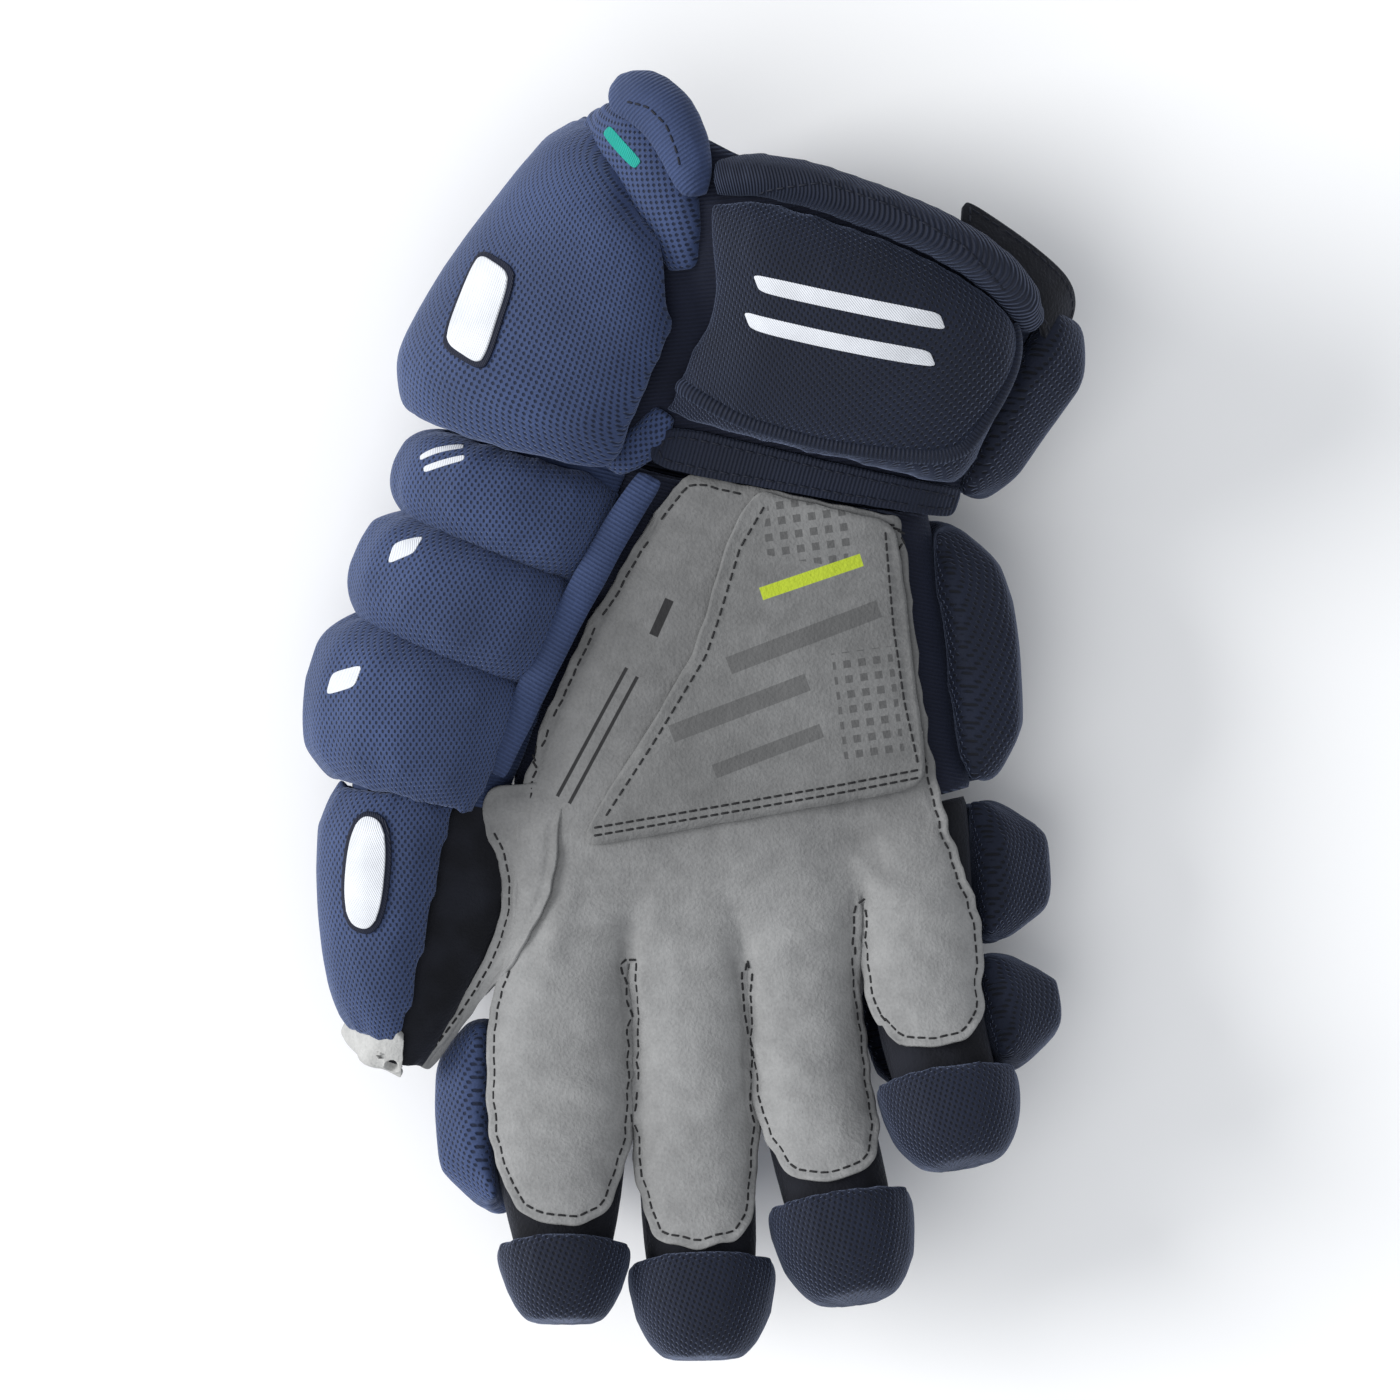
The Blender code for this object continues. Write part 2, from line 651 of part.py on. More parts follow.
# Each strip: its first and last row as stations of the finger, and its borders in degrees.
StripRow = namedtuple("StripRow", "first_station last_station left right")
STRIPS = {
    "index": StripRow(0.28, 0.80, 150.0, 24.0),
    "middle": StripRow(0.34, 0.80, 154.0, 26.0),
    "ring": StripRow(0.38, 0.765, 154.0, 26.0),
    "pinky": StripRow(0.34, 0.70, 154.0, 30.0),
}
STRIP_CELLS = 5
# How far the rounded end of a strip bows out.
STRIP_BOW = 0.0040
# How far the leather spans hollows under it.
DRAPE_REACH = 0.0045
STRIP_ENDS = [1.0, 1.0, 1.0, 0.97, 0.88, 0.62]


def outer_surface(lift):
    """Everything that the palm leather lies on, as surfaces to drop points onto."""
    surfaces = []
    sources = [(HAND_TUBE, SLEEVE_WALL, 24)]
    sources += [(tube, STALL_WALL, 16) for tube in FINGER_TUBES.values()]
    for tube, wall, segments in sources:
        stations = spread(-0.02, 1.0, 14)
        rings = [ring(tube, station, wall + lift, segments) for station in stations]
        points = [point for one in rings for point in one]
        faces = []
        for i in range(len(rings) - 1):
            for j in range(segments):
                k = (j + 1) % segments
                row = i * segments
                faces.append((row + j, row + k, row + segments + k, row + segments + j))
        surfaces.append(BVHTree.FromPolygons(points, faces))
    return surfaces


def drape(surfaces, x, y, lowest):
    """The place in plan at the height of what lies under it and close round it, seen from the palm."""
    height = lowest
    for dx, dy in ((0, 0), (1, 0), (-1, 0), (0, 1), (0, -1)):
        above = Vector((x + dx * DRAPE_REACH, y + dy * DRAPE_REACH, GLOVE_DEPTH * 2))
        for surface in surfaces:
            place = surface.ray_cast(above, Vector((0.0, 0.0, -1.0)))[0]
            if place is not None:
                height = max(height, place.z)
    return Vector((x, y, height))


def plan(x_share, y_share):
    return x_share * GLOVE_WIDTH, y_share * GLOVE_LENGTH


def across_row(row, share):
    """The place in plan at a share of the way from a row's thumb edge to its other edge."""
    x = row.left_x + (row.right_x - row.left_x) * share
    y = row.left_y + (row.right_y - row.left_y) * share
    return plan(x, y)


def add_palm_leather():
    """The palm and its four finger strips as one sheet, slit between the fingers."""
    surfaces = outer_surface(PALM_SEAT)
    lowest = HAND_TUBE.row_at(0.5)[2] + 0.55 * HAND_TUBE.row_at(0.5)[4]
    columns = STRIP_CELLS * len(STRIPS)

    def build(work):
        grid = []
        for row in PALM_ROWS:
            line = []
            for u in spread(0.0, 1.0, columns + 1):
                line.append(work.verts.new(drape(surfaces, *across_row(row, u), lowest)))
            grid.append(line)
        line = []
        for column in range(columns + 1):
            i = min(column // STRIP_CELLS, len(STRIPS) - 1)
            t = column / STRIP_CELLS - i
            a, b = SLIT_TOPS[i], SLIT_TOPS[i + 1]
            x, y = plan(a.x + (b.x - a.x) * t, a.y + (b.y - a.y) * t)
            line.append(work.verts.new(drape(surfaces, x, y, lowest)))
        grid.append(line)
        for one, two in zip(grid, grid[1:]):
            bridge(work, one, two, closed=False)
        for number, (finger, strip) in enumerate(STRIPS.items()):
            tube = FINGER_TUBES[finger]
            root = grid[-1][number * STRIP_CELLS:(number + 1) * STRIP_CELLS + 1]
            middle = (strip.left + strip.right) / 2
            stations = spread(strip.first_station, strip.last_station, len(STRIP_ENDS))
            for station, width in zip(stations, STRIP_ENDS):
                half = (strip.left - strip.right) / 2 * width
                row = []
                for u in spread(1.0, -1.0, STRIP_CELLS + 1):
                    bow = tube.station_of(STRIP_BOW) * (1.0 - abs(u) ** 2) if width < 0.9 else 0.0
                    place = tube.point(station + bow, middle + half * u, STALL_WALL + PALM_SEAT)
                    row.append(work.verts.new(place))
                bridge(work, root, row, closed=False)
                root = row

    mesh = mesh_from("palm_leather", build)
    turn_outward(mesh, Vector((0.0, 0.0, 1.0)))
    thicken(add_object("palm_leather", mesh, "grey_leather"), PALM_LEATHER)


# The raised centre panel in plan, from the wrist to the double row of stitches.
OVERLAY_ROWS = [
    PalmRow(0.068, 0.164, 0.252, 0.138),
    PalmRow(0.034, 0.126, 0.262, 0.096),
    PalmRow(0.008, 0.066, 0.272, 0.042),
    PalmRow(-0.008, 0.036, 0.280, 0.004),
    PalmRow(-0.076, -0.034, 0.288, -0.030),
    PalmRow(-0.172, -0.118, 0.298, -0.068),
]


def add_palm_overlay():
    """A second leather on the middle of the palm."""
    surfaces = outer_surface(PALM_SEAT + PALM_LEATHER + SEAT)
    lowest = HAND_TUBE.row_at(0.5)[2] + 0.75 * HAND_TUBE.row_at(0.5)[4]

    def build(work):
        grid = []
        for row in OVERLAY_ROWS:
            line = []
            for u in spread(0.0, 1.0, 9):
                line.append(work.verts.new(drape(surfaces, *across_row(row, u), lowest)))
            grid.append(line)
        for one, two in zip(grid, grid[1:]):
            bridge(work, one, two, closed=False)

    mesh = mesh_from("palm_overlay", build)
    turn_outward(mesh, Vector((0.0, 0.0, 1.0)))
    thicken(add_object("palm_overlay", mesh, "grey_leather"), OVERLAY_LEATHER)


# The padded strip between the thumb's rolls and the palm leather: its middle line in plan, with its
# height as a share of the depth.
PipingRow = namedtuple("PipingRow", "x y z width")
PIPING_ROWS = [
    PipingRow(-0.062, 0.175, 0.605, 0.90),
    PipingRow(-0.108, 0.134, 0.592, 1.00),
    PipingRow(-0.178, 0.056, 0.580, 1.00),
    PipingRow(-0.243, -0.022, 0.566, 0.95),
    PipingRow(-0.264, -0.060, 0.548, 0.70),
]


def add_thumb_piping():
    """A flat padded strip, lofted through flattened round sections."""
    places = [
        Vector((row.x * GLOVE_WIDTH, row.y * GLOVE_LENGTH, row.z * GLOVE_DEPTH)) for row in PIPING_ROWS
    ]
    across = (places[-1] - places[0]).cross(Vector((0.0, 0.0, 1.0))).normalized()

    def build(work):
        rings = []
        for place, row in zip(places, PIPING_ROWS):
            line = []
            for i in range(10):
                turn = math.tau * i / 10
                side = across * (math.cos(turn) * PIPING_WIDTH / 2 * row.width)
                rise = Vector((0.0, 0.0, math.sin(turn) * PIPING_HEIGHT / 2))
                line.append(work.verts.new(place + side + rise))
            rings.append(line)
        for one, two in zip(rings, rings[1:]):
            bridge(work, one, two, closed=True)
        work.faces.new(rings[0])
        work.faces.new(rings[-1])

    add_object("thumb_piping", mesh_from("thumb_piping", build), "plain_fabric")


def build_glove():
    for old in list(bpy.data.objects):
        bpy.data.objects.remove(old)
    bpy.context.scene.collection.children.link(GLOVE)
    bpy.context.scene.collection.children.link(CUTTERS)
    add_tubes()
    add_hand_padding()
    add_finger_padding()
    add_thumb_padding()
    add_thumb_leather()
    add_cuff_padding()
    add_cuff_trim()
    add_palm_leather()
    add_palm_overlay()
    add_thumb_piping()


build_glove()
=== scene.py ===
"""The finish of an ice hockey glove for the right hand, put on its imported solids.

The glove lies on its back with the palm up, fingers towards -Y and thumb towards -X. Lengths are in metres.
"""

import math
import bmesh
import bpy
import numpy as np
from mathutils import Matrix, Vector, kdtree, noise
from mathutils.bvhtree import BVHTree


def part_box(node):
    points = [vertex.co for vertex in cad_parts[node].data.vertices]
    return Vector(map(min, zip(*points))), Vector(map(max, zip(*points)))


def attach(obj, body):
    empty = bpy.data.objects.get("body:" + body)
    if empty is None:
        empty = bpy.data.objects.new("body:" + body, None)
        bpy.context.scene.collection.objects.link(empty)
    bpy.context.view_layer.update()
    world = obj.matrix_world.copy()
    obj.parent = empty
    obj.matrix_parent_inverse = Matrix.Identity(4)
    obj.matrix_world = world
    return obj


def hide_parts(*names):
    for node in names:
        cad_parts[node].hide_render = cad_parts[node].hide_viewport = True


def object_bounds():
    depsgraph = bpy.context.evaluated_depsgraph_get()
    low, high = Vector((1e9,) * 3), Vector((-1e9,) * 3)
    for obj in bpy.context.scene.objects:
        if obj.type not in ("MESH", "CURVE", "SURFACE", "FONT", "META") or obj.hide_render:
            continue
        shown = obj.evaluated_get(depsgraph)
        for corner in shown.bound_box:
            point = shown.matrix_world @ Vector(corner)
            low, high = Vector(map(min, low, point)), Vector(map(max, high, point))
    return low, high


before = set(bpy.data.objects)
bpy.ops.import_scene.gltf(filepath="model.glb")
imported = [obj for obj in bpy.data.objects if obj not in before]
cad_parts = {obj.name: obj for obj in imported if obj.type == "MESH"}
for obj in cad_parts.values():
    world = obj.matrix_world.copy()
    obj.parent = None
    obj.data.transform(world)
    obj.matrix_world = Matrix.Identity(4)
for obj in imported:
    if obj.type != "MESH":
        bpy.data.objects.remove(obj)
cad_box = [list(corner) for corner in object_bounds()]
bpy.ops.object.select_all(action="DESELECT")

# The picture: a camera straight above the palm, a soft sun low on the thumb's side, a broad lamp
# overhead and a pale sky, over a white floor that the glove lies on.
GLOVE_MIDDLE = Vector((0.0, 0.0, 0.050))
CAMERA_HEIGHT = 0.932
lens = bpy.data.cameras.new("camera")
lens.lens = 85.0
lens.clip_start = 0.01
camera = bpy.data.objects.new("camera", lens)
camera.location = GLOVE_MIDDLE + Vector((0.0, 0.0, CAMERA_HEIGHT))
bpy.context.collection.objects.link(camera)
bpy.context.scene.camera = camera
bpy.context.scene.view_settings.view_transform = "Standard"

SUN_STRENGTH = 3.0
SUN_SPREAD = 28.0
SUN_HEADING = Vector((0.90, -0.10, -0.42))
sun = bpy.data.lights.new("key_light", "SUN")
sun.energy = SUN_STRENGTH
sun.angle = math.radians(SUN_SPREAD)
key = bpy.data.objects.new("key_light", sun)
key.rotation_euler = SUN_HEADING.to_track_quat("-Z", "Y").to_euler()
bpy.context.collection.objects.link(key)

LAMP_PLACE = Vector((-0.35, -0.45, 1.20))
lamp = bpy.data.lights.new("top_lamp", "AREA")
lamp.size = 0.90
lamp.energy = 5.0
top = bpy.data.objects.new("top_lamp", lamp)
top.location = LAMP_PLACE
top.rotation_euler = (GLOVE_MIDDLE - LAMP_PLACE).to_track_quat("-Z", "Y").to_euler()
bpy.context.collection.objects.link(top)

sky = bpy.data.worlds.new("sky")
sky.use_nodes = True
sky.node_tree.nodes["Background"].inputs["Color"].default_value = (0.92, 0.95, 1.0, 1.0)
sky.node_tree.nodes["Background"].inputs["Strength"].default_value = 0.62
bpy.context.scene.world = sky

bpy.ops.mesh.primitive_plane_add(size=6.0, location=(0.0, 0.0, cad_box[0][2] - 0.0005))
floor = bpy.context.object
floor.name = "floor"
bpy.ops.object.transform_apply(location=True, rotation=False, scale=False)
white_floor = bpy.data.materials.new("white_floor")
white_floor.use_nodes = True
white_floor.node_tree.nodes["Principled BSDF"].inputs["Base Color"].default_value = (0.93, 0.93, 0.93, 1.0)
white_floor.node_tree.nodes["Principled BSDF"].inputs["Roughness"].default_value = 0.9
floor.data.materials.append(white_floor)

# The tubes of the glove: a knitted sleeve for the hand, stretch gussets for the fingers and thumb, and
# the lined shell of the cuff. They are sewn from thin cloth and show only between the pads.
GUSSET_LOOK = (0.0045, 0.0050, 0.0075)
# One navy cloth in three copies: the first painted lighter with light from the sun's side, the other two
# painted darker with shade.
LIT_NAVY = (0.035, 0.054, 0.124)
SHADED_NAVY = (0.0068, 0.0100, 0.0225)
SHADED_SLEEVE_NAVY = (0.009, 0.012, 0.027)


def pick(piece):
    """Leaves only this piece selected, and works on it."""
    bpy.ops.object.select_all(action="DESELECT")
    piece.select_set(True)
    bpy.context.view_layer.objects.active = piece


def cut_from_solid(node, name):
    """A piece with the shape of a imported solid, its loose triangles merged into a closed skin."""
    piece = bpy.data.objects.new(name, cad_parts[node].data.copy())
    piece.data.materials.clear()
    bpy.context.collection.objects.link(piece)
    pick(piece)
    bpy.ops.object.mode_set(mode="EDIT")
    bpy.ops.mesh.select_all(action="SELECT")
    bpy.ops.mesh.remove_doubles(threshold=0.00002)
    bpy.ops.mesh.tris_convert_to_quads(face_threshold=math.radians(35), shape_threshold=math.radians(60))
    bpy.ops.object.mode_set(mode="OBJECT")
    return piece


def work_in(piece, kind, **settings):
    """Adds a modifier to the piece and applies it."""
    pick(piece)
    modifier = piece.modifiers.new(kind.lower(), kind)
    for name, value in settings.items():
        setattr(modifier, name, value)
    bpy.ops.object.modifier_apply(modifier=modifier.name)


def points_of(piece):
    flat = np.empty(len(piece.data.vertices) * 3)
    piece.data.vertices.foreach_get("co", flat)
    return flat.reshape(-1, 3)


def normals_of(piece):
    flat = np.empty(len(piece.data.vertices) * 3)
    piece.data.vertex_normals.foreach_get("vector", flat)
    return flat.reshape(-1, 3)


def move_points(piece, places):
    piece.data.vertices.foreach_set("co", places.ravel())
    piece.data.update()


class Value:
    """A number or colour on its way through a material, which Python's operators work on."""

    def __init__(self, dye, socket):
        self.dye = dye
        self.socket = socket

    def sum(self, operation, *others):
        return self.dye.node("Math", {"operation": operation}, dict(enumerate((self, *others))))

    def __add__(self, other):
        return self.sum("ADD", other)

    __radd__ = __add__

    def __mul__(self, other):
        return self.sum("MULTIPLY", other)

    __rmul__ = __mul__

    def __sub__(self, other):
        return self.sum("SUBTRACT", other)

    def __rsub__(self, other):
        return self.dye.node("Math", {"operation": "SUBTRACT"}, {0: other, 1: self})

    def cosine(self):
        return self.sum("COSINE")

    def size(self):
        return self.sum("ABSOLUTE")

    def larger(self, other):
        return self.sum("MAXIMUM", other)

    def smaller(self, other):
        return self.sum("MINIMUM", other)

    def step(self, low, high):
        """0 below low, 1 above high and smooth between them."""
        values = {"Value": self, "From Min": low, "From Max": high}
        return self.dye.node("MapRange", {"interpolation_type": "SMOOTHSTEP"}, values)


class Dye:
    """A material in the making."""

    def __init__(self, name):
        self.material = bpy.data.materials.new(name)
        self.material.use_nodes = True
        self.tree = self.material.node_tree
        self.shader = self.tree.nodes["Principled BSDF"]

    def set_inputs(self, node, values):
        for key, value in values.items():
            socket = node.inputs[key]
            if isinstance(value, Value):
                self.tree.links.new(value.socket, socket)
            elif isinstance(value, tuple) and socket.type == "RGBA":
                socket.default_value = (*value, 1.0)
            else:
                socket.default_value = value

    def node(self, kind, settings, values, output=0):
        made = self.tree.nodes.new(f"ShaderNode{kind}")
        for name, value in settings.items():
            setattr(made, name, value)
        self.set_inputs(made, values)
        return Value(self, made.outputs[output])

    def parts(self, vector):
        """The three numbers of a vector."""
        made = self.tree.nodes.new("ShaderNodeSeparateXYZ")
        self.tree.links.new(vector.socket, made.inputs[0])
        return [Value(self, socket) for socket in made.outputs]

    def place(self):
        return self.node("TexCoord", {}, {}, "Object")

    def cloth_place(self):
        """Metres round and along the piece, from its own unrolled map."""
        return self.parts(self.node("UVMap", {"uv_map": "weave"}, {}, "UV"))

    def speckle(self, vector, per_metre, detail=2.0):
        return self.node("TexNoise", {}, {"Vector": vector, "Scale": per_metre, "Detail": detail})

    def mix(self, share, first, second):
        made = self.tree.nodes.new("ShaderNodeMix")
        made.data_type = "RGBA"
        self.set_inputs(made, {0: share, 6: first, 7: second})
        return Value(self, made.outputs[2])

    def finish(self, colour, roughness, height=None, depth=0.0, sheen=0.0, sheen_tint=(1.0, 1.0, 1.0)):
        shader = {"Base Color": colour, "Roughness": roughness, "Sheen Weight": sheen}
        shader["Sheen Tint"] = sheen_tint
        shader["Sheen Roughness"] = 0.4
        shader["Specular IOR Level"] = 0.25
        if height is not None:
            shader["Normal"] = self.node("Bump", {}, {"Height": height, "Distance": depth, "Strength": 0.8})
        self.set_inputs(self.shader, shader)
        return self.material


def stretch_gusset():
    """Black jersey with a fine rib and a little fluff."""
    dye = Dye("stretch_gusset")
    place = dye.place()
    fluff = dye.speckle(place, 900.0, 3.0)
    patches = dye.speckle(place, 60.0)
    colour = dye.mix(patches.step(0.35, 0.7), GUSSET_LOOK, tuple(2.2 * c for c in GUSSET_LOOK))
    return dye.finish(colour, 0.9, fluff, 0.0005, sheen=0.15, sheen_tint=(0.5, 0.55, 0.7))


def plain_weave(name, look, rib=0.0011):
    """Close smooth cloth with fine ribs across it."""
    dye = Dye(name)
    place = dye.place()
    around, along, _ = dye.cloth_place()
    ribs = (along * (math.tau / rib)).cosine()
    patches = dye.speckle(place, 45.0)
    threads = dye.speckle(place, 1400.0, 2.0)
    shade = (patches * 0.6 + ribs * 0.12 + threads * 0.35).step(0.15, 0.95)
    colour = dye.mix(shade, tuple(0.62 * c for c in look), tuple(1.35 * c for c in look))
    height = ribs * 0.5 + threads
    return dye.finish(colour, 0.8, height, 0.00025, sheen=0.25, sheen_tint=(0.45, 0.55, 0.85))


def unroll(piece, start, end, centre_side=None):
    """Gives the piece a map in metres: round the line from start to end, and along it."""
    start, end = np.array(start), np.array(end)
    along = (end - start) / np.linalg.norm(end - start)
    places = points_of(piece) - start
    middle = places.mean(axis=0) if centre_side is None else np.array(centre_side)
    first = middle - along * (middle @ along)
    if np.linalg.norm(first) < 0.002:
        first = np.array([0.0, 0.0, 1.0]) - along * along[2]
    first /= np.linalg.norm(first)
    second = np.cross(along, first)
    flat = places - np.outer(places @ along, along)
    radius = np.linalg.norm(flat, axis=1)
    turn = np.arctan2(flat @ second, flat @ first)
    reach = np.percentile(radius, 75)
    corners = np.empty(len(piece.data.loops), dtype=np.int64)
    piece.data.loops.foreach_get("vertex_index", corners)
    angles = turn[corners]
    owners = np.repeat(np.arange(len(piece.data.polygons)), [len(p.vertices) for p in piece.data.polygons])
    highest = np.full(len(piece.data.polygons), -9.0)
    np.maximum.at(highest, owners, angles)
    angles = np.where(highest[owners] - angles > math.pi, angles + math.tau, angles)
    weave = np.column_stack([angles * reach, (places @ along)[corners]])
    layer = piece.data.uv_layers.get("weave") or piece.data.uv_layers.new(name="weave")
    layer.data.foreach_set("uv", weave.ravel())
    return turn * reach, places @ along, radius


def line_through(tube, low, high):
    """The middle line of a tube's solid between two places along Y."""
    places = points_of(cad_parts[tube])
    ends = []
    for place in (low, high):
        near = places[np.abs(places[:, 1] - place) < 0.016]
        ends.append((near.min(axis=0) + near.max(axis=0)) / 2 if len(near) else places.mean(axis=0))
        ends[-1][1] = place
    return ends


def dress(piece, look, slot, *nodes):
    """Gives a finished piece its material, its place in the glove and the solids that it stands for."""
    piece.data.materials.clear()
    piece.data.materials.append(look)
    pick(piece)
    bpy.ops.object.shade_smooth()
    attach(piece, "root")
    if nodes:
        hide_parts(*nodes)


def over(values, first, last):
    """0 at first, 1 at last, and straight between them."""
    return np.clip((values - first) / (last - first), 0.0, 1.0)


black_jersey = stretch_gusset()
for node in ("index_stall", "middle_stall", "ring_stall", "pinky_stall", "thumb_stall"):
    stall = cut_from_solid(node, f"{node}_cloth")
    work_in(stall, "SUBSURF", levels=1, render_levels=1)
    dress(stall, black_jersey, "gusset_fabric", node)

# The thumb's gusset is drawn over to the palm's leather. How far, at places along it, in metres.
GUSSET_ROWS = [-0.104, -0.098, -0.077, -0.058, -0.045, -0.036, -0.028]
GUSSET_WEB = [0.0, 0.002, 0.0068, 0.0105, 0.0085, 0.003, 0.0]
places = points_of(stall)
web = np.interp(places[:, 1], GUSSET_ROWS, GUSSET_WEB)
places[:, 0] += web * over(places[:, 0], -0.084, -0.066) * over(places[:, 2], 0.028, 0.038)
move_points(stall, places)
low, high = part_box("thumb_stall")
unroll(stall, *line_through("thumb_stall", low.y + 0.02, high.y - 0.02))
# Where the thumb's gusset lies under the rolls it takes the navy painted lighter with light.
stall.data.materials.append(plain_weave("thumb_sleeve_cloth", LIT_NAVY))
rolls_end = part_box("thumb_roll_3")[0].y
for face in stall.data.polygons:
    face.material_index = int(face.center.y > rolls_end)

# The hand's sleeve and the cuff's shell, whose mouth is turned in a little under its binding.
MOUTH_TUCK = 0.0060
# The sleeve and the shell take the darker navy, painted shade where they show between the pads.
sleeve_cloth = plain_weave("sleeve_cloth", SHADED_SLEEVE_NAVY)
for node in ("hand_sleeve", "cuff_shell"):
    shell = cut_from_solid(node, f"{node}_cloth")
    work_in(shell, "SUBSURF", levels=1, render_levels=1)
    if node == "cuff_shell":
        places = points_of(shell)
        places[:, 1] -= MOUTH_TUCK * over(places[:, 1], 0.105, 0.125) * over(places[:, 2], 0.055, 0.075)
        move_points(shell, places)
    low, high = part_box(node)
    unroll(shell, *line_through(node, low.y + 0.01, high.y - 0.01))
    dress(shell, sleeve_cloth, "plain_fabric", node)

# The foam pads: sewn bags of knitted mesh filled with foam, stitched down round their borders. The
# filling swells them, their ends press on their neighbours, and the cloth gathers along the seams.
SEAM_REACH = 0.0009
MESH_PITCH = 0.0018
MESH_ROW = 0.0024
FILLING_FRAMES = 20
GATHER_PITCH = 0.005
GATHER_WIDTH = 0.006
GATHER_ENDS = 0.8
GATHER_SIDES = 0.2
ROLLS_OUTWARD = (-0.35, 0.10, 0.93)
BOLSTER_RINGS = 25
BOLSTER_SIDES = 20


def knitted_mesh(name, look, grain):
    """Sports mesh: a raised knit with rows of small holes, on the piece's unrolled map."""
    dye = Dye(name)
    place = dye.place()
    around, along, _ = dye.cloth_place()
    turn = math.radians(grain)
    first = around * math.cos(turn) + along * math.sin(turn)
    second = along * math.cos(turn) - around * math.sin(turn)
    lattice = (first * (math.tau / MESH_PITCH)).cosine() * (second * (math.tau / MESH_ROW)).cosine()
    holes = lattice.step(0.05, 0.75)
    patches = dye.speckle(place, 38.0)
    threads = dye.speckle(place, 1500.0, 2.0)
    shade = patches * 0.55 + threads * 0.45
    knit = dye.mix(shade.step(0.25, 0.8), tuple(0.80 * c for c in look), tuple(1.40 * c for c in look))
    colour = dye.mix(holes * 0.86, knit, tuple(0.16 * c for c in look))
    height = threads * 0.25 - holes
    return dye.finish(colour, 0.78, height, 0.00055, sheen=0.35, sheen_tint=(0.50, 0.60, 0.90))


def fill_with_foam(piece, start, end, reach, cell):
    """Remeshes a pad, swells it with pressure as far as reach on its outside, and smooths it."""
    move_points(piece, points_of(piece) + normals_of(piece) * SEAM_REACH)
    work_in(piece, "REMESH", mode="VOXEL", voxel_size=cell)
    before = points_of(piece)
    pick(piece)
    cloth = piece.modifiers.new("foam", "CLOTH")
    cloth.settings.quality = 5
    cloth.settings.mass = 0.25
    cloth.settings.tension_stiffness = 12.0
    cloth.settings.compression_stiffness = 12.0
    cloth.settings.bending_stiffness = 1.5
    cloth.settings.use_pressure = True
    cloth.settings.uniform_pressure_force = 4.0
    cloth.settings.effector_weights.gravity = 0.0
    cloth.point_cache.frame_start = 1
    cloth.point_cache.frame_end = FILLING_FRAMES
    for number in range(1, FILLING_FRAMES + 1):
        bpy.context.scene.frame_set(number)
    bpy.ops.object.modifier_apply(modifier=cloth.name)
    bpy.context.scene.frame_set(1)
    moved = points_of(piece) - before
    away = before - start
    line = (end - start) / np.linalg.norm(end - start)
    away -= np.outer(away @ line, line)
    away /= np.maximum(np.linalg.norm(away, axis=1, keepdims=True), 1e-9)
    facing = np.clip((normals_of(piece) * away).sum(axis=1), -1.0, 1.0)
    allowed = reach * (0.10 + 0.90 * np.clip(facing * 1.4 + 0.9, 0.0, 1.0))
    length = np.maximum(np.linalg.norm(moved, axis=1), 1e-9)
    moved *= (np.minimum(length, allowed) / length)[:, None]
    move_points(piece, before + moved)
    work_in(piece, "SMOOTH", factor=0.5, iterations=4)
    work_in(piece, "SUBSURF", levels=1, render_levels=1)


def gather(piece, around, along, depth):
    """Puckers the cloth along the pad's sewn borders."""
    places = points_of(piece)
    normals = normals_of(piece)
    sag = np.zeros(len(places))
    seed = (sum(ord(letter) for letter in piece.name) % 97) * 0.37
    borders = ((along, around, seed, GATHER_ENDS), (around, along, 5.0 + seed, GATHER_SIDES))
    for to_border, by_border, layer, share in borders:
        low, high = np.percentile(to_border, 1), np.percentile(to_border, 99)
        wave = np.array([noise.noise(Vector((run / GATHER_PITCH + seed, layer, 0.3 * inward / GATHER_PITCH)))
                         for run, inward in zip(by_border, to_border)])
        for border in (np.abs(to_border - low), np.abs(high - to_border)):
            sag += share * np.exp(-border / GATHER_WIDTH) * (0.35 + wave)
    normals[:, 2] *= 0.6
    move_points(piece, places - normals * (sag * depth)[:, None])


def tuck_borders(piece, start, end, wrap, stretch, shift, bowed):
    """Widens a pad round and along its tube, so that its borders meet what is sewn beside them."""
    along = (end - start) / np.linalg.norm(end - start)
    places = points_of(piece) - start
    middle = places.mean(axis=0)
    first = middle - along * (middle @ along)
    first /= np.linalg.norm(first)
    second = np.cross(along, first)
    turn = np.arctan2(places @ second, places @ first)
    radius = np.hypot(places @ second, places @ first)
    run = places @ along
    middle_run = np.polyval(np.polyfit(turn, run, 4), turn) if bowed else run.mean()
    turn = turn * wrap
    run = middle_run + (run - middle_run) * stretch + shift
    flat = np.outer(np.cos(turn) * radius, first) + np.outer(np.sin(turn) * radius, second)
    move_points(piece, start + flat + np.outer(run, along))


def ring_bag(name, rings):
    """A closed bag whose skin joins rings of places one after the other."""
    count, sides = len(rings), len(rings[0])
    faces = [tuple(range(sides)), tuple(range((count - 1) * sides, count * sides))[::-1]]
    for first in range(0, (count - 1) * sides, sides):
        for side in range(sides):
            other = (side + 1) % sides
            faces.append((first + side, first + other, first + sides + other, first + sides + side))
    mesh = bpy.data.meshes.new(name)
    mesh.from_pydata([tuple(place) for ring in rings for place in ring], [], faces)
    bag = bpy.data.objects.new(name, mesh)
    bpy.context.collection.objects.link(bag)
    pick(bag)
    bpy.ops.object.mode_set(mode="EDIT")
    bpy.ops.mesh.select_all(action="SELECT")
    bpy.ops.mesh.normals_make_consistent(inside=False)
    bpy.ops.object.mode_set(mode="OBJECT")
    return bag


def ring_at(spot, across, up, half_width, half_height, sides):
    """An oval of places round a spot."""
    turns = [math.tau * side / sides for side in range(sides)]
    return [spot + across * half_width * math.cos(turn) + up * half_height * math.sin(turn) for turn in turns]


